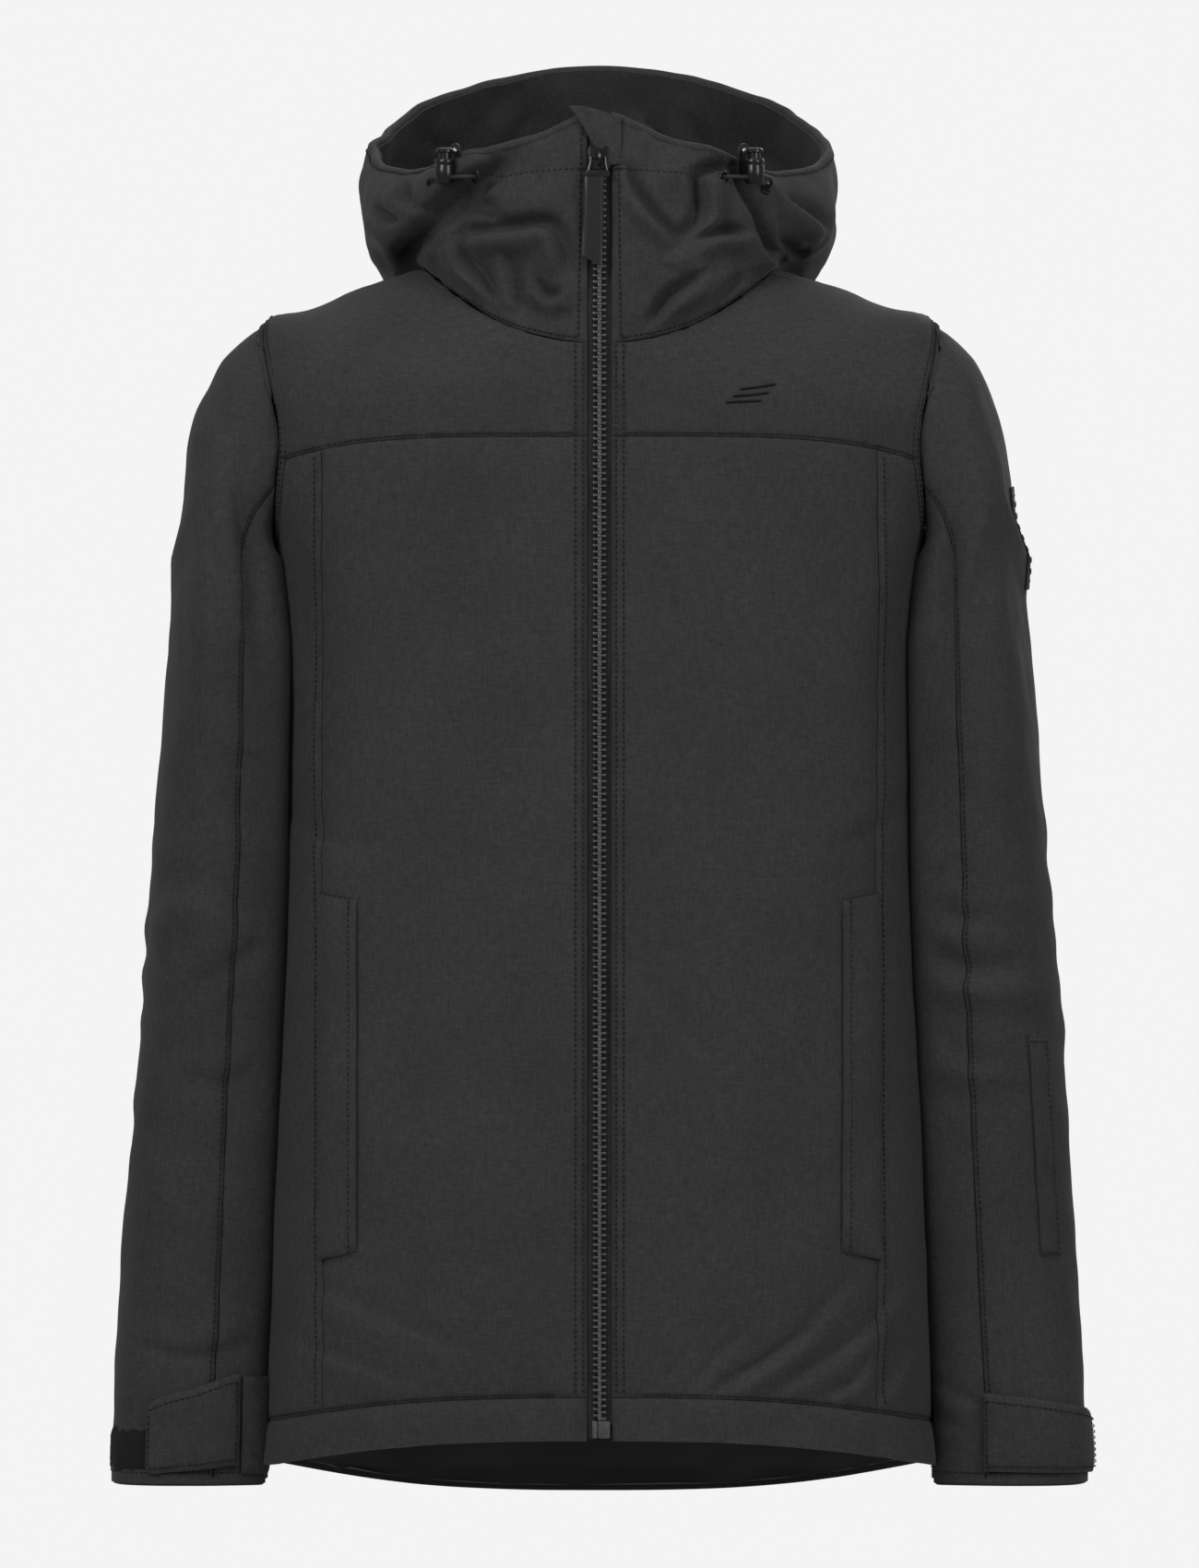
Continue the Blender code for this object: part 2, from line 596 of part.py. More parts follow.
def tab_pivot(hand):
    """The middle of the cuff tab's sewn edge, on its inner face, as on the left sleeve."""
    angle = TAB_COLUMNS[hand][1] * 360 / SLEEVE_COLUMNS
    point = sleeve_point(9.3, angle)
    return tuple(point + normal_at(sleeve_point, 9.3, angle, sleeve_centre(point)) * TAB_LIFT)


def add_sleeve_pocket(shell, quilt):
    """The pass pocket on the left forearm: a welt outside and a flat bag under the shell."""
    columns = (22.5, 45, 67.5, 90)
    welt = [[(ring, angle) for angle in columns[1:3]] for ring in POCKET_RINGS]
    bag = [[(ring, angle) for angle in columns] for ring in POCKET_RINGS]
    welt = slab("sleeve_pocket_welt", sleeve_point, sleeve_centre, welt, -0.0024, 0.0018, shell)
    bag = slab("sleeve_pocket_bag", sleeve_point, sleeve_centre, bag, BAG_DEPTH, BAG, quilt)
    for obj in (welt, bag):
        hang_on(obj, ELBOW_PIVOT)


def add_badge(rubber):
    """A flat rubber badge on the outside of the left upper sleeve."""
    ring = 3.0
    point = sleeve_point(ring, 0)
    normal = normal_at(sleeve_point, ring, 0, sleeve_centre(point))
    sleeve = bpy.data.objects["sleeve_upper_left"]
    badge = block("sleeve_badge", (-0.0010, -0.0230, -0.0300), (0.0010, 0.0230, 0.0300), rubber, sleeve,
                  bevel=0.0006)
    badge.location = Vector(point) + Vector(normal) * 0.0048 - Vector(SHOULDER_PIVOT)
    badge.rotation_euler = (0.0, -math.asin(normal[2]), 0.0)


# ---------------------------------------------------------------- front zip

def add_zip(metal, plastic, webbing, shell):
    """Tapes, tooth chains, box and pin, slider and pull, placed along the zip's own line."""
    line = bpy.data.objects.new("zip_line", None)
    JACKET.objects.link(line)
    line.location = (0.0, ZIP_BOTTOM[0], ZIP_BOTTOM[1])
    line.rotation_euler = (-ZIP_LEAN, 0.0, 0.0)
    for side, hand in ((1, "left"), (-1, "right")):
        def strip(name, x_low, x_high, y_low, y_high, z_low, z_high, mat):
            low, high = sorted((side * x_low, side * x_high))
            block(f"{name}_{hand}", (low, y_low, z_low), (high, y_high, z_high), mat, line)
        strip("zip_tape", 0.0008, 0.0125, 0.0033, 0.0043, 0.001, ZIP_LENGTH - 0.002, webbing)
        strip("zip_chain", 0.0006, 0.0036, -0.0006, 0.0025, 0.0118, ZIP_LENGTH - 0.004, plastic)
    block("zip_box", (-0.0008, -0.0016, 0.0016), (0.0058, 0.0025, 0.0112), plastic, line, 0.0006)
    block("zip_pin", (-0.0040, -0.0010, 0.0016), (-0.0012, 0.0025, 0.0112), plastic, line, 0.0004)
    slider = bpy.data.objects.new("zip_slider_place", None)
    JACKET.objects.link(slider)
    slider.parent = line
    slider.location = (0.0, 0.0, (SLIDER_HEIGHT - ZIP_BOTTOM[1]) / math.cos(ZIP_LEAN))
    add_slider(slider, metal)
    add_pull(slider, metal, webbing)
    flap = [(-0.0175, 0.0150), (0.0120, 0.0150), (0.0120, -0.0005), (0.0010, -0.0005), (-0.0105, 0.0065)]
    guard = flat_piece("chin_guard", [flap], 0.0018, shell, slider)
    guard.rotation_euler = (math.radians(90), 0.0, 0.0)
    guard.location = (0.0, -0.0019, 0.0085)


def add_slider(place, metal):
    """The slider: a front plate with flanges, a thin post between the chains, and a back plate."""
    half = [(0.0055, -0.0030), (0.0062, -0.0023), (0.0062, 0.0022), (0.0050, 0.0022), (0.0050, -0.0012),
            (0.0002, -0.0012), (0.0002, 0.0049), (0.0055, 0.0049), (0.0055, 0.0062)]
    outline = half + [(-x, y) for x, y in reversed(half)]
    body = prism("zip_slider", outline, 0.0130, metal, place)
    arch = [(-0.0026, -0.0048), (-0.0058, -0.0040), (-0.0066, -0.0025), (-0.0066, 0.0025), (-0.0058, 0.0040),
            (-0.0026, 0.0048), (-0.0026, 0.0032), (-0.0056, 0.0027), (-0.0056, -0.0027), (-0.0026, -0.0032)]
    bridge = prism("slider_bridge", arch, 0.0018, metal, place)
    bridge.rotation_euler = (math.radians(90), 0.0, math.radians(90))
    boolean(body, bridge, "UNION")


def add_pull(place, metal, webbing):
    """The pull's metal frame, whose top bar runs under the bridge, and its webbing strap."""
    frame = flat_piece("zip_pull_frame", [
        [(-0.0046, 0.0007), (0.0046, 0.0007), (0.0050, -0.0040), (0.0060, -0.0075), (0.0060, -0.0108),
         (-0.0060, -0.0108), (-0.0060, -0.0075), (-0.0050, -0.0040)],
        [(-0.0032, -0.0007), (0.0032, -0.0007), (0.0034, -0.0058), (-0.0034, -0.0058)],
    ], 0.0012, metal, place)
    frame.rotation_euler = (math.radians(90), 0.0, 0.0)
    frame.location = (-0.0010, -0.0042, 0.0)
    outline = [(-0.0052, -0.0112), (0.0052, -0.0112), (0.0056, -0.0580), (0.0040, -0.0620),
               (-0.0052, -0.0540)]
    strap = flat_piece("zip_pull_strap", [outline], 0.0018, webbing, place)
    strap.rotation_euler = (math.radians(90), 0.0, 0.0)
    strap.location = (-0.0030, -0.0042, 0.0)


# ---------------------------------------------------------------- cords, locks and loop

def add_cord_lock(hand, side, plastic, elastic, leather):
    """A spring cord lock in front of its tab, with the hood's elastic cord running through it."""
    along = Vector((math.cos(LOCK_TURN), math.sin(LOCK_TURN), 0.0))
    out = Vector((math.sin(LOCK_TURN), -math.cos(LOCK_TURN), 0.0))
    up = Vector((0.0, 0.0, 1.0))

    def place(a, b, c):
        """A point from the lock's place: a along the collar, b out from it, c up."""
        point = Vector(LOCK_PLACE) + along * a + out * b + up * c
        return Vector((side * point.x, point.y, point.z))

    recess = LOCK_HALF - 0.0060
    body = as_mesh(turned(f"cord_lock_body_{hand}", [
        (0.0, recess), (BUTTON_RECESS, recess), (BUTTON_RECESS, LOCK_HALF), (LOCK_RADIUS - 0.0006, LOCK_HALF),
        (LOCK_RADIUS, LOCK_HALF - 0.0008), (LOCK_RADIUS, 0.0010 - LOCK_HALF),
        (LOCK_RADIUS - 0.0010, -LOCK_HALF), (0.0, -LOCK_HALF)], plastic, place(0, LOCK_STANDOFF, 0)))
    rod = [(0.0, 0.010), (0.0018, 0.010), (0.0018, -0.010), (0.0, -0.010)]
    bore = turned(f"cord_bore_{hand}", rod, plastic, place(0, LOCK_STANDOFF, CORD_DROP), steps=10)
    bore.rotation_euler = (0.0, math.radians(90), side * LOCK_TURN)
    boolean(body, as_mesh(bore), "DIFFERENCE")
    turned(f"cord_lock_button_{hand}", [
        (0.0, 0.0130), (0.0042, 0.0130), (0.0050, 0.0122), (0.0050, 0.0104), (0.0036, 0.0104),
        (0.0036, 0.0042), (0.0, 0.0042)], plastic, place(0, LOCK_STANDOFF, 0))
    knots = [place(*knot) for knot in CORD_ROUTE]
    smooth = [spline(knots, i / 4) for i in range(4 * (len(knots) - 1) + 1)]
    tube(f"hood_cord_{hand}", smooth, CORD_RADIUS, elastic)
    tab = block(f"cord_tab_{hand}", (-0.0055, -0.0007, -0.0050), (0.0055, 0.0007, 0.0160), leather,
                bevel=0.0003)
    tab.location = place(0, TAB_STANDOFF, 0)
    tab.rotation_euler = (0.0, 0.0, side * LOCK_TURN)


def add_hanger_loop(webbing):
    """A short webbing strap that stands off the lining, so that a hook can pass behind it."""
    inner = [(-0.0300, 0.0018), (-0.0240, 0.0014), (-0.0160, -0.0020), (-0.0080, -0.0046), (0.0, -0.0054)]
    inner += [(-x, y) for x, y in reversed(inner[:-1])]
    outline = inner + [(x, y - 0.0015) for x, y in reversed(inner)]
    flat_piece("hanger_loop", [outline], 0.0090, webbing)


clear_scene()
JACKET = collection("ski_jacket")
CUTTERS = collection("ski_jacket_cutters")
HOOD_CAGE = hood_rings()

SHELL_FABRIC = material("shell_fabric", CHARCOAL, 0.9)
QUILT = material("quilted_lining", BLACK, 0.6)
LOOP_PILE = material("loop_pile", (0.006, 0.006, 0.007), 1.0)
WEBBING = material("webbing", (0.018, 0.018, 0.019), 0.8)
ELASTIC = material("elastic_cord", (0.020, 0.020, 0.021), 0.7)
TOOTH_PLASTIC = material("tooth_plastic", (0.012, 0.012, 0.013), 0.35)
LOCK_PLASTIC = material("lock_plastic", (0.030, 0.030, 0.030), 0.4)
GUNMETAL = material("gunmetal", (0.10, 0.10, 0.11), 0.3, 1.0)
LEATHER = material("tab_leather", (0.045, 0.043, 0.042), 0.6)
RUBBER = material("badge_rubber", (0.022, 0.022, 0.023), 0.6)

add_torso(SHELL_FABRIC, QUILT)
add_hood(SHELL_FABRIC, QUILT)
for which, way in (("left", 1), ("right", -1)):
    add_sleeve(which, way, SHELL_FABRIC, QUILT, LOOP_PILE)
    add_cord_lock(which, way, LOCK_PLASTIC, ELASTIC, LEATHER)
add_sleeve_pocket(SHELL_FABRIC, QUILT)
add_badge(RUBBER)
add_zip(GUNMETAL, TOOTH_PLASTIC, WEBBING, SHELL_FABRIC)
add_hanger_loop(WEBBING)
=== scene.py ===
"""The looks of a hooded ski jacket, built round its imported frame.

Every fabric piece is cut from the same three surfaces as the frame's: the torso, the sleeve, and the
collar with the hood. A relief of folds and puckers is laid over them, so neighbours stay sewn together.
Metres, +Z up. The wearer faces -Y, and the wearer's left is +X.
"""
import math

import bpy
import bmesh
import numpy as np
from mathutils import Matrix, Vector


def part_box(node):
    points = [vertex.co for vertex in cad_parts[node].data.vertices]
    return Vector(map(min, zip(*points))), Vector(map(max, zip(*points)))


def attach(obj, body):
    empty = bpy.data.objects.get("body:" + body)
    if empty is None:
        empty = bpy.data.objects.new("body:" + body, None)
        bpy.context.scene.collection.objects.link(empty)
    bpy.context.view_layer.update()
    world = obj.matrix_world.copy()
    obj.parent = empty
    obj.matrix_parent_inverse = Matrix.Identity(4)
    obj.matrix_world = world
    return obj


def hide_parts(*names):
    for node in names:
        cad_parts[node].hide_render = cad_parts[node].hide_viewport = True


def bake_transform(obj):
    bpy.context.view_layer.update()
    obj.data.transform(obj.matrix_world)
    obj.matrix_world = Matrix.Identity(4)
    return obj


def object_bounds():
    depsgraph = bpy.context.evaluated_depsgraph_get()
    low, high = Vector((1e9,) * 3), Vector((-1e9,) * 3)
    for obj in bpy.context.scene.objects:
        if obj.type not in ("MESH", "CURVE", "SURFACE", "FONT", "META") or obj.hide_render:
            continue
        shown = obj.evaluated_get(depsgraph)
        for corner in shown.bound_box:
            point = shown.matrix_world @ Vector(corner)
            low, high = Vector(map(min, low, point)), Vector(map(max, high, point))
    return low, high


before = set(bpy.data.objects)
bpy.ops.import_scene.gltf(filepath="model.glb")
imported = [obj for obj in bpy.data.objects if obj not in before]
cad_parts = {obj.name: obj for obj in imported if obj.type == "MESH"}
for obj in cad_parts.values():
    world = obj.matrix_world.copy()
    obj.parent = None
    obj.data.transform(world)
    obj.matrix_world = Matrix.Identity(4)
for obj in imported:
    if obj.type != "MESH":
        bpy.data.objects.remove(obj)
CAD_BOX = [list(corner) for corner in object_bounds()]

# ---------------------------------------------------------------- dimensions, as in the frame

SHELL = 0.0022                    # thickness of a panel
LINING_DEPTH = 0.0048
ZIP_BOTTOM = (-0.190, -0.650)     # y and z of the zip's lower end
ZIP_TOP = (-0.152, 0.088)
ZIP_LEAN = math.atan2(ZIP_TOP[0] - ZIP_BOTTOM[0], ZIP_TOP[1] - ZIP_BOTTOM[1])
ZIP_LENGTH = math.hypot(ZIP_TOP[0] - ZIP_BOTTOM[0], ZIP_TOP[1] - ZIP_BOTTOM[1])
FRONT_EDGE = 0.0068
SLIDER_HEIGHT = 0.0625

# Torso rings: height at the front, side and back, half width, back y, squareness
TORSO = [
    (-0.650, -0.668, -0.690, 0.1900, 0.050, 2.8),
    (-0.626, -0.643, -0.665, 0.1890, 0.050, 2.8),
    (-0.520, -0.525, -0.530, 0.1840, 0.044, 2.8),
    (-0.360, -0.360, -0.360, 0.1770, 0.034, 2.9),
    (-0.200, -0.200, -0.200, 0.1780, 0.050, 3.2),
    (-0.0926, -0.110, -0.105, 0.1890, 0.052, 4.5),
    (-0.0720, -0.0262, -0.045, 0.1880, 0.042, 3.9),
    (-0.0570, -0.0105, -0.018, 0.1480, 0.029, 2.6),
    (-0.0406, 0.0040, 0.000, 0.0990, 0.017, 2.2),
]
HEM_RING, YOKE_RING, NECK_RING = 1, 5, 8
PRINCESS = 0.155
ARMHOLE = (-0.064, -0.094)
ARMHOLE_CUT, SLEEVE_HEAD = 0.0672, 0.0670
CORNER_SLACK = 0.0125             # how far the sleeve's slack leans towards the torso, front and back

# Sleeve sections: inner x and z, outer x and z, middle y, half depth
SLEEVE = [
    (0.1820, -0.1600, 0.1880, -0.0285, -0.064, 0.0660),
    (0.1862, -0.1720, 0.2100, -0.0470, -0.064, 0.0675),
    (0.1852, -0.1850, 0.2280, -0.0920, -0.064, 0.0710),
    (0.1832, -0.1990, 0.2390, -0.1480, -0.064, 0.0745),
    (0.1812, -0.2150, 0.2460, -0.2060, -0.064, 0.0765),
    (0.1812, -0.2800, 0.2515, -0.2760, -0.064, 0.0750),
    (0.1822, -0.3640, 0.2570, -0.3640, -0.065, 0.0700),
    (0.1860, -0.4680, 0.2645, -0.4680, -0.068, 0.0610),
    (0.1905, -0.5720, 0.2712, -0.5720, -0.072, 0.0520),
    (0.1935, -0.6300, 0.2745, -0.6300, -0.075, 0.0470),
    (0.1940, -0.6776, 0.2745, -0.6776, -0.076, 0.0440),
]
SLEEVE_SQUARE = 2.4
SPLIT_RING, CUFF_RING = 5.0, 10.0
SEAM_FRONT, SEAM_BACK = 112.0, 236.0       # angles of the sleeve's two long seams
POCKET_TOP, POCKET_BOTTOM = 6.62, 7.76
TAB_TOP, TAB_BOTTOM = {"left": 8.93, "right": 8.72}, 9.83
PATCH_TOP, PATCH_BOTTOM = 9.29, 9.79

# Collar and hood: rings 1 to 5 at these angles round the neck; ring 0 is the neck seam
HOOD_ANGLES = (0, 25, 50, 75, 100, 130, 155, 180)
HOOD = [
    [(0, None, -0.0150), (0.0440, -0.1500, -0.0120), (0.0790, -0.1270, 0.0000), (0.1030, -0.0920, 0.0110),
     (0.1090, -0.0500, 0.0120), (0.0960, 0.0230, -0.0040), (0.0520, 0.0480, -0.0200), (0, 0.0560, -0.0240)],
    [(0, None, 0.0100), (0.0430, -0.1500, 0.0120), (0.0800, -0.1260, 0.0140), (0.1120, -0.0880, 0.0190),
     (0.1220, -0.0420, 0.0170), (0.1120, 0.0580, -0.0190), (0.0620, 0.0900, -0.0400), (0, 0.1010, -0.0450)],
    [(0, None, 0.0350), (0.0420, -0.1490, 0.0360), (0.0800, -0.1250, 0.0300), (0.1180, -0.0850, 0.0280),
     (0.1310, -0.0320, 0.0280), (0.1240, 0.0880, 0.0010), (0.0700, 0.1310, -0.0050), (0, 0.1470, -0.0060)],
    [(0, None, 0.0620), (0.0400, -0.1480, 0.0560), (0.0760, -0.1260, 0.0485), (0.1150, -0.0850, 0.0440),
     (0.1330, -0.0230, 0.0540), (0.1240, 0.0920, 0.0500), (0.0700, 0.1400, 0.0520), (0, 0.1570, 0.0540)],
    [(0, None, 0.0865), (0.0370, -0.1470, 0.0735), (0.0700, -0.1280, 0.0650), (0.1020, -0.0880, 0.0570),
     (0.1310, -0.0180, 0.0695), (0.1120, 0.0750, 0.0980), (0.0620, 0.1220, 0.1195), (0, 0.1400, 0.1284)],
]
HOOD_SPLIT, HOOD_CENTER = 62.5, 142.5
LOCK_PLACE = (0.0790, -0.1250, 0.0560)
LOCK_TURN = math.radians(42)
LOCK_STANDOFF, TAB_STANDOFF = 0.0110, 0.0026
CORD_RADIUS = 0.00115
CORD_ROUTE = [(-0.0160, 0.0042, -0.0034), (-0.0155, 0.0085, -0.0034), (-0.0110, 0.0110, -0.0034),
              (0.0, 0.0110, -0.0034), (0.0110, 0.0110, -0.0034), (0.0150, 0.0090, -0.0060),
              (0.0160, 0.0046, -0.0090)]

SEAM_GAP = 0.00022                # how far a panel draws back from a seam
LEFT, RIGHT = (1, "left"), (-1, "right")


# ---------------------------------------------------------------- surfaces

def spline(table, t):
    """Rows of a table at fractional indices, on a smooth curve through them."""
    table = np.asarray(table, float)
    t = np.clip(np.asarray(t, float), 0, len(table) - 1)
    i = np.minimum(t.astype(int), len(table) - 2)
    f = (t - i)[..., None]
    a, b, c, d = (table[np.clip(i + k, 0, len(table) - 1)] for k in (-1, 0, 1, 2))
    return b + 0.5 * f * (c - a + f * (2 * a - 5 * b + 4 * c - d + f * (3 * (b - c) + d - a)))


def power(value, exponent):
    return np.sign(value) * np.abs(value) ** exponent


def zip_y(z):
    return ZIP_BOTTOM[0] + (z - ZIP_BOTTOM[1]) * math.tan(ZIP_LEAN)


def torso(ring, angle):
    """Points of the torso: angle 0 at the zip, 90 at the left side seam, 180 at the centre back."""
    front, side, back, half, y_back, square = np.moveaxis(spline(TORSO, ring), -1, 0)
    middle, depth = (y_back + zip_y(front)) / 2, (y_back - zip_y(front)) / 2
    s, c = np.sin(np.radians(angle)), np.cos(np.radians(angle))
    x = half * power(s, 2 / square)
    y = middle - depth * power(c, 2 / square)
    z = side + (front - side) * np.maximum(c, 0) ** 2 + (back - side) * np.maximum(-c, 0) ** 2
    return np.stack([x, y, z], -1)


def torso_angle(ring, x):
    half, square = spline(TORSO, ring)[..., 3], spline(TORSO, ring)[..., 5]
    return np.degrees(np.arcsin(np.minimum(1.0, (x / half) ** (square / 2))))


def armhole_edge(ring, start):
    """The angle where the armhole begins at one ring, from the front (0) or the back (180)."""
    angles = np.arange(0, 90, 0.05) if start < 90 else np.arange(180, 90, -0.05)
    points = torso(np.full(angles.shape, float(ring)), angles)
    inside = np.hypot(points[:, 1] - ARMHOLE[0], points[:, 2] - ARMHOLE[1]) < ARMHOLE_CUT
    return float(angles[inside.argmax()]) if inside.any() else 90.0


def ring_at(z, column=0):
    """The torso ring whose height is z at the front (column 0) or at the side (column 1)."""
    rings = np.linspace(0, NECK_RING, 1601)
    return float(np.interp(z, spline(TORSO, rings)[:, column], rings))


def armhole_point(angle):
    """The sleeve's seam: a circle seen from the side, lying on the torso."""
    z = ARMHOLE[1] + SLEEVE_HEAD * np.cos(np.radians(angle))
    y = ARMHOLE[0] - SLEEVE_HEAD * np.sin(np.radians(angle))
    rings = np.interp(z, ARMHOLE_HEIGHTS, ARMHOLE_RINGS)
    front, _, _, half, y_back, square = np.moveaxis(spline(TORSO, rings), -1, 0)
    middle, depth = (y_back + zip_y(front)) / 2, (y_back - zip_y(front)) / 2
    x = half * (1 - np.minimum(0.9, np.abs((y - middle) / depth) ** square)) ** (1 / square)
    return np.stack([x, y, z], -1)


ARMHOLE_RINGS = np.linspace(0, NECK_RING, 1601)
ARMHOLE_HEIGHTS = spline(TORSO, ARMHOLE_RINGS)[:, 1]


def sleeve(ring, angle):
    """Points of the left sleeve: angle 0 outside, 90 in front, 180 beside the torso."""
    x_in, z_in, x_out, z_out, y_mid, depth = np.moveaxis(spline(SLEEVE, ring), -1, 0)
    c, s = np.cos(np.radians(angle)), np.sin(np.radians(angle))
    across = power(c, 2 / SLEEVE_SQUARE)
    ring, angle = np.asarray(ring, float), np.asarray(angle, float)
    corner = np.exp(-((angle % 360 - 142) / 17) ** 2) + np.exp(-((angle % 360 - 218) / 17) ** 2)
    slack = CORNER_SLACK * corner * np.clip((ring - 0.5) / 0.7, 0, 1)
    points = np.stack([(x_in + x_out) / 2 + (x_out - x_in) / 2 * across - slack,
                       y_mid - depth * power(s, 2 / SLEEVE_SQUARE),
                       (z_in + z_out) / 2 + (z_out - z_in) / 2 * across], -1)
    blend = np.maximum(0.0, 1.0 - ring)[..., None]
    return (1 - blend) * points + blend * armhole_point(angle)


def hood_cage():
    """The points that the collar and hood run through, with a mirrored point beyond each end."""
    angles = np.array(HOOD_ANGLES, float)
    cage = [torso(np.full(angles.shape, float(NECK_RING)), angles)]
    for ring in HOOD:
        cage.append(np.array([(x, zip_y(z) if y is None else y, z) for x, y, z in ring]))
    flip = np.array((-1, 1, 1))
    return np.array([np.vstack([row[1] * flip, row, row[-2] * flip]) for row in cage])


CAGE = hood_cage()


def hood(ring, angle):
    """Points of the collar and hood: ring 0 at the neck seam, 5 at the rim; angles up to 360."""
    ring, angle = np.broadcast_arrays(np.asarray(ring, float), np.asarray(angle, float))
    angle = np.where(angle > 180, angle - 360, angle)
    turn = np.interp(np.abs(angle), HOOD_ANGLES, range(len(HOOD_ANGLES))) + 1
    around = np.stack([spline(row, turn) for row in CAGE])
    i = np.minimum(np.clip(ring, 0, 5).astype(int), 4)
    f = (np.clip(ring, 0, 5) - i)[..., None]
    pick = [np.take_along_axis(around, np.clip(i + k, 0, 5)[None, ..., None], 0)[0] for k in (-1, 0, 1, 2)]
    a, b, c, d = pick
    points = b + 0.5 * f * (c - a + f * (2 * a - 5 * b + 4 * c - d + f * (3 * (b - c) + d - a)))
    points[..., 0] = np.where(angle < 0, -points[..., 0], points[..., 0])
    return points


TORSO_CENTRE = np.array((0.0, -0.066, -0.30))
SLEEVE_CENTRE = np.array((0.220, -0.066, -0.36))
HOOD_CENTRE = np.array((0.0, -0.03, 0.045))
CENTRES = {torso: TORSO_CENTRE, sleeve: SLEEVE_CENTRE, hood: HOOD_CENTRE}


# ---------------------------------------------------------------- relief

def waves(points, size, seed, stretch=(1, 1, 1)):
    """Smooth noise about 1 high whose swells are about size across."""
    rng = np.random.default_rng(seed)
    total = np.zeros(points.shape[:-1])
    scaled = points * np.array(stretch)
    for _ in range(12):
        way = rng.normal(size=3)
        way /= np.linalg.norm(way)
        length = size * rng.uniform(0.7, 1.6)
        total += np.sin(scaled @ way * 2 * math.pi / length + rng.uniform(0, 2 * math.pi))
    return total / 3.5


def fold(points, path, width, height, one_sided=0.0):
    """A ridge, or a valley where height is negative, along a path of (x, z), fading at its ends."""
    x, z = points[..., 0], points[..., 2]
    best = np.full(x.shape, 1e9)
    share = np.zeros(x.shape)
    offset = np.zeros(x.shape)
    knots = spline(path, np.linspace(0, len(path) - 1, 6 * (len(path) - 1) + 1))
    for k, ((ax, az), (bx, bz)) in enumerate(zip(knots, knots[1:])):
        dx, dz = bx - ax, bz - az
        length = max(math.hypot(dx, dz), 1e-9)
        t = np.clip(((x - ax) * dx + (z - az) * dz) / length ** 2, 0, 1)
        away = np.hypot(x - ax - t * dx, z - az - t * dz)
        near = away < best
        best = np.where(near, away, best)
        share = np.where(near, (k + t) / (len(knots) - 1), share)
        offset = np.where(near, ((x - ax) * dz - (z - az) * dx) / length, offset)
    taper = np.sin(math.pi * np.clip(share, 0.02, 0.98)) ** 0.6
    steep = 1 - 0.55 * one_sided / (1 + np.exp(-offset / (0.2 * width)))
    ridge = np.exp(-(best / (width * steep)) ** 2)
    roll = one_sided * np.exp(-((offset - 1.6 * width) / (1.5 * width)) ** 2) * (best < 5 * width)
    return height * taper * (ridge - roll)


NECK_LINE = torso(np.full(120, float(NECK_RING)), np.linspace(0, 357, 120))


def from_neck(points, reach):
    """0 at the neck seam, rising to 1 a reach away, so that the collar and the torso meet."""
    away = np.full(points.shape[:-1], 1.0)
    for place in NECK_LINE:
        away = np.minimum(away, np.linalg.norm(points - place, axis=-1))
    return np.clip(away / reach, 0, 1)


def from_armhole(points, reach):
    """0 on the armhole's seam, rising to 1 a reach away."""
    away = np.abs(np.hypot(points[..., 1] - ARMHOLE[0], points[..., 2] - ARMHOLE[1]) - SLEEVE_HEAD)
    return np.clip(np.where(np.abs(points[..., 0]) > 0.13, away, 1.0) / reach, 0, 1)


TORSO_FOLDS = [
    # path of (x, z), width, height, roll beside it
    ([(0.049, -0.624), (0.062, -0.608), (0.078, -0.592)], 0.0035, -0.0009, 1.0),
    ([(0.061, -0.625), (0.0745, -0.616), (0.0945, -0.604), (0.118, -0.588)], 0.0035, -0.0014, 1.0),
    ([(0.0686, -0.625), (0.0865, -0.612), (0.112, -0.592), (0.140, -0.560)], 0.0045, -0.0013, 1.0),
    ([(0.0965, -0.624), (0.120, -0.610), (0.148, -0.590), (0.168, -0.560)], 0.0042, -0.0013, 1.0),
    ([(0.126, -0.626), (0.142, -0.618), (0.149, -0.604)], 0.0030, -0.0011, 1.0),
    ([(0.154, -0.630), (0.164, -0.616), (0.170, -0.600)], 0.0030, -0.0010, 1.0),
    ([(0.010, -0.384), (0.040, -0.412), (0.072, -0.452)], 0.006, -0.0006, 0.8),
    ([(-0.165, -0.560), (-0.120, -0.582), (-0.075, -0.600)], 0.006, -0.0008, 0.8),
    ([(-0.176, -0.596), (-0.140, -0.606), (-0.110, -0.618)], 0.005, -0.0007, 0.8),
    ([(-0.176, -0.300), (-0.150, -0.318), (-0.120, -0.322)], 0.007, -0.0007, 0.8),
    ([(0.176, -0.285), (0.152, -0.312), (0.128, -0.320)], 0.007, -0.0008, 0.8),
    ([(-0.182, -0.140), (-0.166, -0.180), (-0.158, -0.240)], 0.008, -0.0012, 0.8),
    ([(0.182, -0.140), (0.168, -0.180), (0.160, -0.240)], 0.008, -0.0012, 0.8),
    ([(-0.090, -0.012), (-0.120, -0.040), (-0.150, -0.075)], 0.010, -0.0010, 0.6),
    ([(0.095, -0.010), (0.125, -0.036), (0.155, -0.070)], 0.010, -0.0010, 0.6),
]


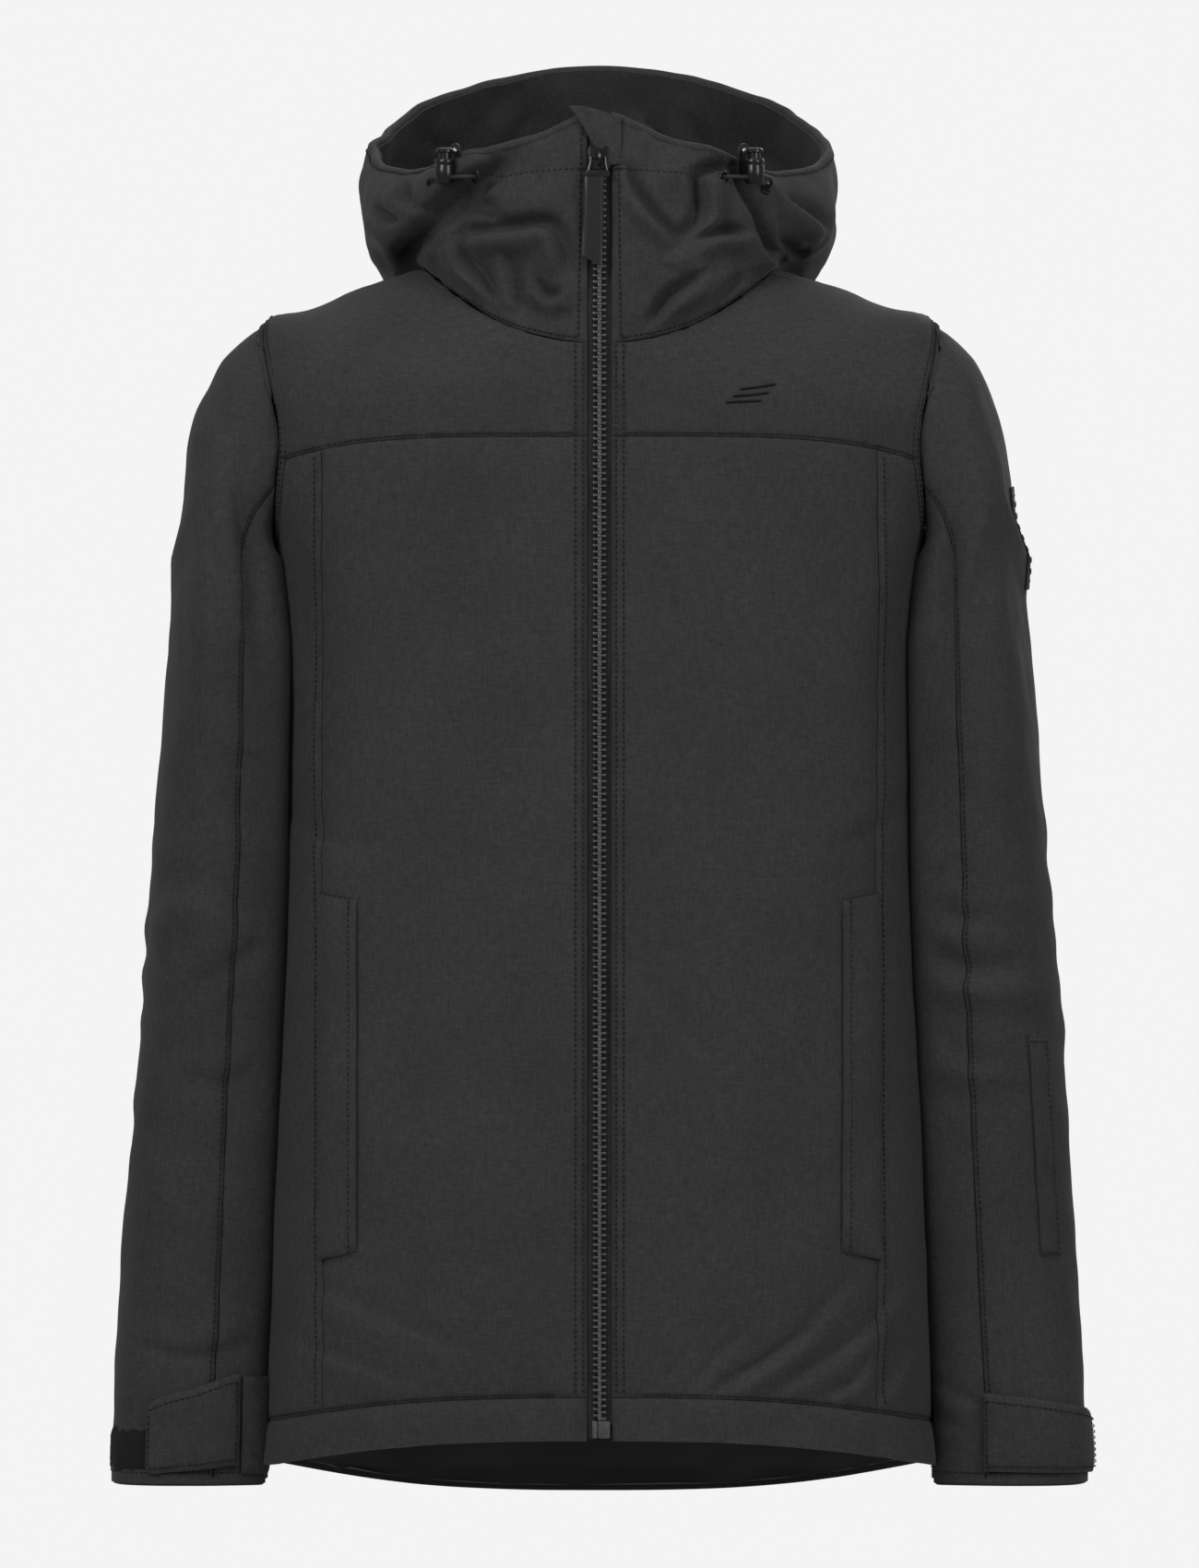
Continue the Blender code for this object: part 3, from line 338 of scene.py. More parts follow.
def torso_relief(points):
    height = 0.0010 * waves(points, 0.110, 3, (1, 1, 0.35)) + 0.0004 * waves(points, 0.045, 4, (1, 1, 0.6))
    hem = np.exp(-((points[..., 2] - (-0.632 - 0.04 * (points[..., 0] / 0.19) ** 2)) / 0.018) ** 2)
    height += 0.0006 * hem * waves(points, 0.016, 5, (1, 1, 0.3))
    if points[..., 1].mean() < 0.0 or points[..., 1].min() < -0.05:
        front = 1 / (1 + np.exp((points[..., 1] + 0.070) / 0.008))
        for path, width, amount, roll in TORSO_FOLDS:
            height += 1.5 * front * fold(points, path, width, amount, roll)
    shoulder = np.exp(-((np.abs(points[..., 0]) - 0.170) / 0.020) ** 2)
    shoulder = shoulder * np.clip((points[..., 2] + 0.075) / 0.03, 0, 1)
    return (height - 0.0058 * shoulder) * from_neck(points, 0.014) * from_armhole(points, 0.010)


SLEEVE_FOLDS = [
    ([(0.186, -0.380), (0.206, -0.392), (0.236, -0.388)], 0.007, -0.0022, 0.8),
    ([(0.186, -0.350), (0.200, -0.362), (0.220, -0.360)], 0.006, -0.0014, 0.8),
    ([(0.186, -0.420), (0.204, -0.440), (0.226, -0.440)], 0.006, -0.0012, 0.8),
    ([(0.214, -0.075), (0.202, -0.120), (0.194, -0.165), (0.190, -0.230)], 0.008, -0.0026, 0.9),
    ([(0.226, -0.120), (0.214, -0.170), (0.206, -0.230)], 0.009, -0.0014, 0.8),
    ([(0.187, -0.620), (0.200, -0.628), (0.213, -0.633)], 0.0035, -0.0010, 0.9),
    ([(0.188, -0.640), (0.200, -0.648), (0.211, -0.652)], 0.0035, -0.0009, 0.9),
    ([(-0.186, -0.372), (-0.206, -0.386), (-0.234, -0.402)], 0.007, -0.0014, 0.8),
    ([(-0.188, -0.440), (-0.210, -0.452), (-0.240, -0.448)], 0.006, -0.0009, 0.8),
    ([(-0.216, -0.065), (-0.204, -0.110), (-0.196, -0.160), (-0.190, -0.230)], 0.008, -0.0028, 0.9),
    ([(-0.222, -0.120), (-0.212, -0.170), (-0.204, -0.230)], 0.009, -0.0014, 0.8),
    ([(-0.194, -0.596), (-0.226, -0.606), (-0.262, -0.598)], 0.005, -0.0009, 0.8),
]


def sleeve_relief(points):
    """Slack across the sleeve at the elbow and long swells elsewhere."""
    z = points[..., 2]
    head = from_armhole(points, 0.020) * np.clip((-0.030 - z) / 0.03, 0, 1)
    elbow = np.exp(-((z + 0.385) / 0.09) ** 2)
    cuff = np.clip((z + 0.668) / 0.03, 0, 1)
    height = 0.0011 * waves(points, 0.085, 11, (1, 1, 0.5))
    height += 0.0008 * elbow * waves(points, 0.038, 12, (0.5, 0.5, 1.5))
    height += 0.0004 * waves(points, 0.028, 13)
    front = 1 / (1 + np.exp((points[..., 1] + 0.064) / 0.008))
    for path, width, amount, roll in SLEEVE_FOLDS:
        height += 1.6 * front * fold(points, path, width, amount, roll)
    beside = 1 / (1 + np.exp((np.abs(points[..., 0]) - 0.188) / 0.0015))
    slack = np.exp(-((z + 0.19) / 0.05) ** 2)
    outside = np.clip((np.abs(points[..., 0]) - 0.215) / 0.02, 0, 1)
    trim = np.interp(z, (-0.600, -0.400, -0.300, -0.130, -0.080), (0.0015, 0.0030, 0.0042, 0.0042, 0.0))
    height -= outside * trim
    return height * head * (0.3 + 0.7 * cuff) * (1 - 0.8 * beside) + 0.0008 * beside * slack


COLLAR_FOLDS = [
    # the wearer's left
    ([(0.016, 0.058), (0.021, 0.044), (0.032, 0.030), (0.046, 0.016)], 0.0045, -0.0034, 0.7),
    ([(0.046, 0.018), (0.056, 0.030), (0.056, 0.044), (0.054, 0.054)], 0.0045, -0.0036, 0.7),
    ([(0.054, 0.054), (0.062, 0.058), (0.071, 0.059)], 0.0040, -0.0034, 0.0),
    ([(0.049, 0.015), (0.066, 0.022), (0.081, 0.022)], 0.0045, -0.0026, 0.7),
    ([(0.028, -0.030), (0.040, -0.014), (0.055, -0.003)], 0.0050, -0.0030, 0.8),
    ([(0.065, -0.022), (0.073, -0.010), (0.080, -0.003)], 0.0045, -0.0024, 0.7),
    ([(0.086, 0.046), (0.092, 0.030), (0.097, 0.008)], 0.0060, 0.0016, 0.0),
    # the wearer's right
    ([(-0.058, 0.059), (-0.066, 0.052), (-0.078, 0.044), (-0.090, 0.033)], 0.0060, -0.0050, 0.5),
    ([(-0.076, 0.035), (-0.066, 0.037), (-0.058, 0.031)], 0.0050, -0.0042, 0.0),
    ([(-0.078, 0.021), (-0.050, 0.024), (-0.026, 0.024), (-0.017, 0.000)], 0.0055, -0.0040, 0.6),
    ([(-0.079, 0.019), (-0.073, 0.005), (-0.064, -0.006), (-0.058, -0.014)], 0.0045, -0.0030, 0.8),
    ([(-0.036, -0.006), (-0.028, -0.014), (-0.022, -0.012)], 0.0040, -0.0022, 0.7),
    ([(-0.052, 0.010), (-0.047, -0.008), (-0.044, -0.022)], 0.0045, -0.0018, 0.7),
]
HOOD_FOLDS = [
    ([(0.074, 0.058), (0.084, 0.036), (0.094, 0.014), (0.116, 0.003)], 0.0060, -0.0050, 0.5),
    ([(0.106, 0.044), (0.118, 0.034), (0.128, 0.028)], 0.0045, -0.0022, 0.7),
    ([(0.100, 0.020), (0.112, 0.012), (0.120, 0.014)], 0.0045, -0.0022, 0.7),
    ([(-0.058, 0.059), (-0.078, 0.044), (-0.096, 0.026), (-0.116, 0.006)], 0.0065, -0.0058, 0.5),
    ([(-0.126, 0.038), (-0.114, 0.030), (-0.104, 0.030)], 0.0045, -0.0026, 0.7),
    ([(-0.110, 0.050), (-0.104, 0.040), (-0.094, 0.034)], 0.0045, -0.0022, 0.7),
]
HOOD_INSIDE_FOLDS = [
    ([(0.012, 0.114), (0.028, 0.096), (0.046, 0.074)], 0.0040, 0.0036, 0.9),
    ([(0.052, 0.102), (0.058, 0.090), (0.062, 0.078)], 0.0045, 0.0030, 0.9),
    ([(-0.110, 0.088), (-0.094, 0.082), (-0.078, 0.078)], 0.0040, 0.0028, 0.8),
    ([(-0.040, 0.104), (-0.052, 0.092), (-0.058, 0.082)], 0.0050, 0.0018, 0.8),
    ([(0.088, 0.084), (0.098, 0.076), (0.112, 0.070)], 0.0040, 0.0022, 0.8),
]


def hood_relief(points):
    x, y, z = points[..., 0], points[..., 1], points[..., 2]
    height = 0.0016 * waves(points, 0.060, 21) + 0.0007 * waves(points, 0.024, 22)
    front = 1 / (1 + np.exp((y + 0.030) / 0.008))
    for path, width, amount, roll in COLLAR_FOLDS + HOOD_FOLDS:
        height += 3.8 * front * fold(points, path, 0.80 * width, amount, roll)
    back = 1 - front
    for path, width, amount, roll in HOOD_INSIDE_FOLDS:
        height += 1.3 * back * fold(points, path, width, amount, roll) * (y > 0)
    near_zip = np.exp(-(x / 0.016) ** 2)
    height = 0.0090 * np.tanh(height / 0.0090)
    height -= 0.0060 * np.exp(-(z / 0.015) ** 2) * np.clip((np.abs(x) - 0.100) / 0.02, 0, 1)
    return height * (1 - 0.85 * near_zip) * from_neck(points, 0.012)


RELIEF = {torso: torso_relief, sleeve: sleeve_relief, hood: hood_relief}


# ---------------------------------------------------------------- materials

def material(name, colour, roughness, metallic=0.0, sheen=0.0):
    mat = bpy.data.materials.new(name)
    mat.use_nodes = True
    shader = mat.node_tree.nodes["Principled BSDF"]
    shader.inputs["Base Color"].default_value = (*colour, 1.0)
    shader.inputs["Roughness"].default_value = roughness
    shader.inputs["Metallic"].default_value = metallic
    shader.inputs["Sheen Weight"].default_value = sheen
    shader.inputs["Sheen Roughness"].default_value = 0.45
    return mat


def texture(mat, kind, scale, stretch=(1, 1, 1), detail=2.0):
    """A noise or wave texture in the object's own space, in metres."""
    nodes, links = mat.node_tree.nodes, mat.node_tree.links
    place = nodes.new("ShaderNodeTexCoord")
    mapping = nodes.new("ShaderNodeMapping")
    mapping.inputs["Scale"].default_value = stretch
    node = nodes.new(kind)
    node.inputs["Scale"].default_value = scale
    if "Detail" in node.inputs:
        node.inputs["Detail"].default_value = detail
    links.new(place.outputs["Object"], mapping.inputs["Vector"])
    links.new(mapping.outputs["Vector"], node.inputs["Vector"])
    return node.outputs["Fac"]


def mixed(mat, first, second, share, mode="MIX"):
    """Two colours or textures mixed by a number."""
    node = mat.node_tree.nodes.new("ShaderNodeMix")
    node.data_type = "RGBA"
    node.blend_type = mode
    node.inputs["Factor"].default_value = share
    sockets = [s for s in node.inputs if s.type == "RGBA"]
    for socket, value in zip(sockets, (first, second)):
        if isinstance(value, tuple):
            socket.default_value = (*value, 1.0)
        else:
            mat.node_tree.links.new(value, socket)
    return next(s for s in node.outputs if s.type == "RGBA")


def ramp(mat, value, low, high, from_low=0.3, from_high=0.7):
    """Colours from low to high as a texture's value rises."""
    node = mat.node_tree.nodes.new("ShaderNodeValToRGB")
    node.color_ramp.elements[0].position = from_low
    node.color_ramp.elements[1].position = from_high
    node.color_ramp.elements[0].color = (*low, 1.0)
    node.color_ramp.elements[1].color = (*high, 1.0)
    mat.node_tree.links.new(value, node.inputs["Fac"])
    return node.outputs["Color"]


def bump(mat, value, distance, strength=1.0):
    nodes, links = mat.node_tree.nodes, mat.node_tree.links
    node = nodes.new("ShaderNodeBump")
    node.inputs["Distance"].default_value = distance
    node.inputs["Strength"].default_value = strength
    links.new(value, node.inputs["Height"])
    links.new(node.outputs["Normal"], nodes["Principled BSDF"].inputs["Normal"])


def coloured(mat, colour):
    mat.node_tree.links.new(colour, mat.node_tree.nodes["Principled BSDF"].inputs["Base Color"])


def woven(name, colour, roughness, thread, contrast, sheen):
    """A heathered weave: flecks along both thread directions over a faint large-scale variation."""
    mat = material(name, colour, roughness, sheen=sheen)
    dark = tuple(c * (1 - contrast) for c in colour)
    light = tuple(c * (1 + contrast) for c in colour)
    weft = ramp(mat, texture(mat, "ShaderNodeTexNoise", 1 / thread, (0.30, 0.6, 1.6)), dark, light)
    warp = ramp(mat, texture(mat, "ShaderNodeTexNoise", 1 / thread, (1.6, 0.9, 0.25)), dark, light)
    cloudy = ramp(mat, texture(mat, "ShaderNodeTexNoise", 18.0), (0.90,) * 3, (1.08,) * 3)
    coloured(mat, mixed(mat, mixed(mat, weft, warp, 0.5), cloudy, 1.0, "MULTIPLY"))
    bump(mat, texture(mat, "ShaderNodeTexNoise", 1 / thread, (1, 1, 1), 3.0), 0.00015, 0.5)
    return mat


def moulded(name, colour, roughness, metallic=0.0):
    """Plastic or enamelled metal with a fine grain and slight colour variation."""
    mat = material(name, colour, roughness, metallic)
    grain = texture(mat, "ShaderNodeTexNoise", 1400.0)
    coloured(mat, ramp(mat, texture(mat, "ShaderNodeTexNoise", 260.0), tuple(c * 0.8 for c in colour),
                       tuple(c * 1.25 for c in colour)))
    bump(mat, grain, 0.00004, 0.4)
    return mat


CHARCOAL = (0.0335, 0.0330, 0.0350)
M = {
    "shell_fabric": woven("shell_cloth", CHARCOAL, 0.88, 0.0015, 0.42, 0.06),
    "lining_fabric": woven("black_lining", (0.0105, 0.0105, 0.0110), 0.42, 0.0009, 0.15, 0.05),
    "binding": woven("woven_tape", (0.0170, 0.0170, 0.0180), 0.72, 0.0008, 0.35, 0.08),
    "hook_and_loop": woven("loop_pile", (0.0045, 0.0045, 0.0048), 0.95, 0.0009, 0.8, 0.0),
    "zip_plastic": moulded("zip_plastic", (0.20, 0.20, 0.205), 0.24, 0.9),
    "zip_metal": moulded("zip_enamel", (0.045, 0.045, 0.048), 0.24, 0.85),
    "lock_plastic": moulded("lock_plastic", (0.007, 0.007, 0.008), 0.24),
    "cord": woven("braided_cord", (0.018, 0.018, 0.019), 0.6, 0.0006, 0.5, 0.1),
    "badge_rubber": moulded("badge_rubber", (0.0125, 0.0125, 0.0130), 0.55),
}
# The inside of the hood and collar: the shell cloth darkened to 0.8, which is painted shade for the hollow of the hood.
M["facing_painted_shade"] = woven("hood_facing", tuple(c * 0.80 for c in CHARCOAL), 0.88, 0.0015, 0.42, 0.06)
M["tape"] = woven("zip_tape_cloth", (0.034, 0.034, 0.035), 0.8, 0.0008, 0.3, 0.05)
# The real thread has the shell's colour; this much darker tone is painted shade for the shadowed pits along each stitch
# line.
M["thread"] = moulded("thread", (0.010, 0.010, 0.011), 0.70)
M["mark"] = moulded("embroidery", (0.004, 0.004, 0.0045), 0.45)
M["steel"] = moulded("rivet_steel", (0.45, 0.45, 0.46), 0.22, 1.0)
M["leather"] = moulded("tab_leather", (0.012, 0.012, 0.012), 0.36)


# ---------------------------------------------------------------- making pieces

def add(name, mesh, mat, body, replaced=()):
    obj = bpy.data.objects.new(name, mesh)
    bpy.context.scene.collection.objects.link(obj)
    mesh.materials.append(M[mat])
    if replaced:
        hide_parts(*replaced)
    if isinstance(body, str):
        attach(obj, body)
    else:
        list(body)
        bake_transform(obj)
    return obj


def shares(count, tight):
    """Fractions from 0 to 1, closer together at the ends."""
    inner = np.linspace(0, 1, max(count, 4))[1:-1]
    inner = inner[(inner > 3 * tight) & (inner < 1 - 3 * tight)]
    return np.concatenate([[0, tight, 2.2 * tight], inner, [1 - 2.2 * tight, 1 - tight, 1]])


def grid_normals(points, closed):
    along = np.gradient(points, axis=0)
    around = (np.roll(points, -1, 1) - np.roll(points, 1, 1)) / 2 if closed else np.gradient(points, axis=1)
    normal = np.cross(around, along)
    return normal / np.maximum(np.linalg.norm(normal, axis=-1, keepdims=True), 1e-12)


def outward(points, normals, centre):
    """The normals, turned to point away from the surface's centre."""
    away = points - centre
    return normals if (normals * away).sum(-1).mean() > 0 else -normals


def edge_distance(points, borders):
    """How far each point is from the borders that are seams: first and last row, first and last column."""
    far = np.full(points.shape[:2], 1.0)
    for axis, (low, high) in ((0, borders[:2]), (1, borders[2:])):
        step = np.linalg.norm(np.diff(points, axis=axis), axis=-1)
        run = np.concatenate([np.zeros_like(step.take([0], axis)), np.cumsum(step, axis)], axis)
        if low:
            far = np.minimum(far, run)
        if high:
            far = np.minimum(far, run.take([-1], axis) - run)
    return far


def drawn_back(grid, borders):
    """The grid with its seam borders moved inward by half a seam gap."""
    grid = grid.copy()
    for use, edge, near in ((borders[0], 0, 1), (borders[1], -1, -2)):
        if use:
            way = grid[near] - grid[edge]
            grid[edge] += way * np.minimum(SEAM_GAP / np.linalg.norm(way, axis=-1, keepdims=True), 0.4)
    for use, edge, near in ((borders[2], 0, 1), (borders[3], -1, -2)):
        if use:
            way = grid[:, near] - grid[:, edge]
            grid[:, edge] += way * np.minimum(SEAM_GAP / np.linalg.norm(way, axis=-1, keepdims=True), 0.4)
    return grid


def slab_mesh(name, outer, inner, closed):
    """A closed mesh between two grids of points."""
    rows, wide = outer.shape[:2]
    index = np.arange(rows * wide).reshape(rows, wide)
    if closed:
        index = np.concatenate([index, index[:, :1]], 1)
    quads = np.stack([index[:-1, :-1], index[:-1, 1:], index[1:, 1:], index[1:, :-1]], -1).reshape(-1, 4)
    more = rows * wide
    borders = [index[0], index[-1][::-1]] if closed else [
        np.concatenate([index[0], index[1:, -1], index[-1, -2::-1], index[-2::-1, 0]])]
    rims = [np.stack([b[1:], b[:-1], b[:-1] + more, b[1:] + more], -1) for b in borders]
    faces = np.concatenate([quads, quads[:, ::-1] + more, *rims])
    mesh = bpy.data.meshes.new(name)
    mesh.from_pydata(np.concatenate([outer.reshape(-1, 3), inner.reshape(-1, 3)]).tolist(), [], faces.tolist())
    turned = bmesh.new()
    turned.from_mesh(mesh)
    if turned.calc_volume(signed=True) < 0:
        bmesh.ops.reverse_faces(turned, faces=turned.faces)
    turned.to_mesh(mesh)
    turned.free()
    mesh.shade_smooth()
    mesh.set_sharp_from_angle(angle=math.radians(55))
    return mesh


def panel(name, surface, ring, angle, body, replaced=(), side=1, lift=0.0, thick=SHELL, mat="shell_fabric",
          seams=(1, 1, 1, 1), closed=False, puff=0.0, relief=None, joined=(), fill=None, slot=None):
    """A fabric piece over a grid of rings and angles.

    lift raises it over the surface, seams says which borders are sewn down, puff swells it between them,
    and joined lists the rows (0 or -1) where it runs on into another piece without a seam.
    """
    points = surface(ring, angle) * np.array((side, 1, 1))
    centre = CENTRES[surface] * np.array((side, 1, 1))
    normals = outward(points, grid_normals(points, closed), centre)
    far = edge_distance(points, seams)
    height = (relief or RELIEF[surface])(points) + lift
    pucker = 0.0005 * waves(points, 0.011, 31) * np.exp(-far / 0.006)
    height += puff * (1 - np.exp(-far / 0.010)) + pucker
    height -= 0.0007 * np.exp(-(far / 0.0013) ** 2) + 0.0004 * np.exp(-(far / 0.0050) ** 2)
    folded = points + normals * height[..., None]
    outer = drawn_back(folded, seams)
    inner = outer - outward(points, grid_normals(folded, closed), centre) * thick
    for row in joined:
        outer, inner = (outer[1:], inner[1:]) if row == 0 else (outer[:-1], inner[:-1])
    mesh = slab_mesh(name, outer, inner, closed)
    if joined:
        smooth = outward(points, grid_normals(folded, closed), centre)
        smooth = smooth[1:] if 0 in joined else smooth
        smooth = smooth[:-1] if -1 in joined else smooth
        given = np.zeros((len(mesh.vertices), 3))
        wide = outer.shape[1]
        for row in joined:
            start = 0 if row == 0 else (len(outer) - 1) * wide
            given[start:start + wide] = smooth[row]
        mesh.normals_split_custom_set_from_vertices(given.tolist())
    obj = add(name, mesh, mat, body, replaced)
    return obj


def lerp_grid(rings, columns):
    """Rings and angles for a list of rings, each with its own list of angles."""
    angle = np.array([columns(ring) for ring in rings])
    return np.repeat(np.asarray(rings, float)[:, None], angle.shape[1], 1), angle


# share of a stitch's length, its height over the cloth and its share of the full width
STITCH_PROFILE = ((0.0, -0.0003, 0.5), (0.25, 0.00025, 1.0), (0.75, 0.00025, 1.0), (1.0, -0.0003, 0.5))


def stitch_mesh(runs, length=0.0023, width=0.00045, pitch=0.0033):
    """Short thread stitches along runs of (points, normals)."""
    verts, faces = [], []
    for points, normals in runs:
        step = np.linalg.norm(np.diff(points, axis=0), axis=1)
        travel = np.concatenate([[0], np.cumsum(step)])
        for at in np.arange(pitch / 2, travel[-1] - length, pitch):
            ends = [np.array([np.interp(at + d, travel, points[:, k]) for k in range(3)]) for d in (0, length)]
            up = np.array([np.interp(at, travel, normals[:, k]) for k in range(3)])
            way = (ends[1] - ends[0]) / max(np.linalg.norm(ends[1] - ends[0]), 1e-9)
            across = np.cross(way, up)
            start = len(verts)
            for share, rise, wide in STITCH_PROFILE:
                middle = ends[0] + (ends[1] - ends[0]) * share + up * rise
                verts += [middle + across * width * wide, middle + up * width * 0.8 * wide,
                          middle - across * width * wide, middle - up * width * 0.8]
            for ring in range(3):
                for k in range(4):
                    a, b = start + 4 * ring + k, start + 4 * ring + (k + 1) % 4
                    faces.append((a, a + 4, b + 4, b))
            faces += [(start, start + 1, start + 2, start + 3),
                      (start + 15, start + 14, start + 13, start + 12)]
    mesh = bpy.data.meshes.new("stitches")
    mesh.from_pydata([list(v) for v in verts], [], faces)
    turned = bmesh.new()
    turned.from_mesh(mesh)
    bmesh.ops.recalc_face_normals(turned, faces=turned.faces)
    turned.to_mesh(mesh)
    turned.free()
    mesh.shade_smooth()
    return mesh


def run_on(surface, ring, angle, side=1, lift=0.0):
    """A line over the folded surface, as points and normals: ring and angle are lists."""
    ring, angle = np.asarray(ring, float), np.asarray(angle, float)
    points = surface(ring, angle) * np.array((side, 1, 1))
    up = surface(ring + 0.01, angle) - surface(ring - 0.01, angle)
    over = surface(ring, angle + 0.3) - surface(ring, angle - 0.3)
    normal = np.cross(over, up) * np.array((side, 1, 1))
    normal /= np.maximum(np.linalg.norm(normal, axis=1, keepdims=True), 1e-12)
    away = points - CENTRES[surface] * np.array((side, 1, 1))
    normal *= np.sign((normal * away).sum(1).mean())
    height = RELIEF[surface](points) + lift
    return points + normal * height[:, None], normal


def beside(surface, ring, angle, distance):
    """Rings a distance above a seam that runs along one ring."""
    ring, angle = np.asarray(ring, float), np.asarray(angle, float)
    step = np.linalg.norm(surface(ring + 0.02, angle) - surface(ring, angle), axis=1) / 0.02
    return ring + distance / np.maximum(step, 1e-6)


def sewn(name, runs, body, slot="shell_fabric", **sizes):
    # The thread material is darkened as painted shade for the stitch pits.
    return add(name, stitch_mesh(runs, **sizes), "thread", body)


# ---------------------------------------------------------------- torso

def front_columns(count_front, count_side):
    """A function giving the front's column angles at a ring: front panel, then side panel."""
    front = FRONT_EDGE + (PRINCESS - FRONT_EDGE) * shares(count_front, 0.006)
    side = shares(count_side, 0.025)

    def columns(ring, part):
        edge = armhole_edge(ring, 0)
        if part == "yoke":
            start = float(torso_angle(ring, FRONT_EDGE))
            return start + (edge - start) * shares(count_front + count_side, 0.006)
        princess = min(float(torso_angle(ring, PRINCESS)), edge - 1.5)
        if part == "front":
            reach = float(torso(ring, princess)[0])
            return torso_angle(ring, FRONT_EDGE + (reach - FRONT_EDGE) * (front - FRONT_EDGE) / (PRINCESS - FRONT_EDGE))
        return princess + (edge - princess) * side
    return columns


def back_columns(ring, count=64):
    edge = armhole_edge(ring, 180)
    return edge + (360 - 2 * edge) * shares(count, 0.004)


def make_torso():
    columns = front_columns(62, 18)
    body_rings = HEM_RING + (YOKE_RING - HEM_RING) * shares(210, 0.0016)
    yoke_rings = YOKE_RING + (NECK_RING - YOKE_RING) * shares(52, 0.006)
    hem_rings = HEM_RING * shares(10, 0.03)
    for side, hand in (LEFT, RIGHT):
        def piece(name, rings, part, **options):
            panel(f"{name}_{hand}_cloth", torso, *lerp_grid(rings, lambda r: columns(r, part)), "jacket",
                  (f"{name}_{hand}",), side, fill=0.35, **options)
        piece("front_panel", body_rings, "front", puff=0.0008)
        piece("front_side_panel", body_rings, "side", puff=0.0006)
        piece("front_yoke", yoke_rings, "yoke", puff=0.0006)
        whole = np.concatenate([columns(0.5, "front")[:-1], columns(0.5, "side")])
        panel(f"hem_band_{hand}_cloth", torso, *lerp_grid(hem_rings, lambda r: whole), "jacket",
              (f"hem_band_{hand}",), side, puff=0.0022, thick=0.0030, seams=(0, 1, 1, 1), fill=0.5)
    for name, rings, swell in (("back_panel", body_rings, 0.0008), ("back_yoke", yoke_rings, 0.0006)):
        panel(f"{name}_cloth", torso, *lerp_grid(rings, back_columns), "jacket", (name,), puff=swell, fill=0.35)
    panel("hem_band_back_cloth", torso, *lerp_grid(hem_rings, back_columns), "jacket", ("hem_band_back",),
          puff=0.0022, thick=0.0030, seams=(0, 1, 1, 1), fill=0.5)


def armhole_line(radius, side):
    """A stitch line round the armhole, on the torso: points and normals."""
    turn = np.radians(np.linspace(-40, 215, 260))
    z, y = ARMHOLE[1] + radius * np.cos(turn), ARMHOLE[0] - radius * np.sin(turn)

    def lying(y, z):
        rings = np.interp(z, ARMHOLE_HEIGHTS, ARMHOLE_RINGS)
        front, _, _, half, y_back, square = np.moveaxis(spline(TORSO, rings), -1, 0)
        middle, depth = (y_back + zip_y(front)) / 2, (y_back - zip_y(front)) / 2
        x = half * (1 - np.minimum(0.9, np.abs((y - middle) / depth) ** square)) ** (1 / square)
        return np.stack([x, y, z], -1)

    points = lying(y, z)
    normal = np.cross(lying(y + 0.001, z) - points, lying(y, z + 0.001) - points)
    normal *= np.sign(normal[:, :1])
    normal /= np.linalg.norm(normal, axis=1, keepdims=True)
    lift = (torso_relief(points) + 0.0002)[:, None]
    flip = np.array((side, 1, 1))
    return (points + normal * lift) * flip, normal * flip


def make_torso_stitching():
    runs = []
    for side in (1, -1):
        for offset in (0.0022, 0.0066):
            rings = np.linspace(HEM_RING + 0.02, NECK_RING - 0.02, 300)
            runs.append(run_on(torso, rings, torso_angle(rings, FRONT_EDGE + offset), side, 0.0006))
        reach = armhole_edge(YOKE_RING + 0.06, 0)
        angles = np.linspace(float(torso_angle(YOKE_RING, FRONT_EDGE + 0.004)), reach - 0.5, 90)
        runs.append(run_on(torso, beside(torso, np.full(90, 5.0), angles, 0.0020), angles, side, 0.0004))
        rings = np.linspace(HEM_RING + 0.05, YOKE_RING - 0.03, 240)
        runs.append(run_on(torso, rings, torso_angle(rings, PRINCESS + 0.0035), side, 0.0004))
        angles = np.linspace(3.0, 89.0, 140)
        runs.append(run_on(torso, beside(torso, np.full(140, 1.0), angles, 0.0020), angles, side, 0.0003))
        for radius in (ARMHOLE_CUT + 0.0022, ARMHOLE_CUT + 0.0052):
            runs.append(armhole_line(radius, side))
    back = np.linspace(92, 268, 200)
    runs.append(run_on(torso, beside(torso, np.full(200, 1.0), back, 0.0020), back, 1, 0.0003))
    edge = armhole_edge(YOKE_RING + 0.06, 180)
    back = np.linspace(edge + 1, 359 - edge, 200)
    runs.append(run_on(torso, beside(torso, np.full(200, 5.0), back, 0.0020), back, 1, 0.0004))
    sewn("torso_stitching", runs, "jacket")


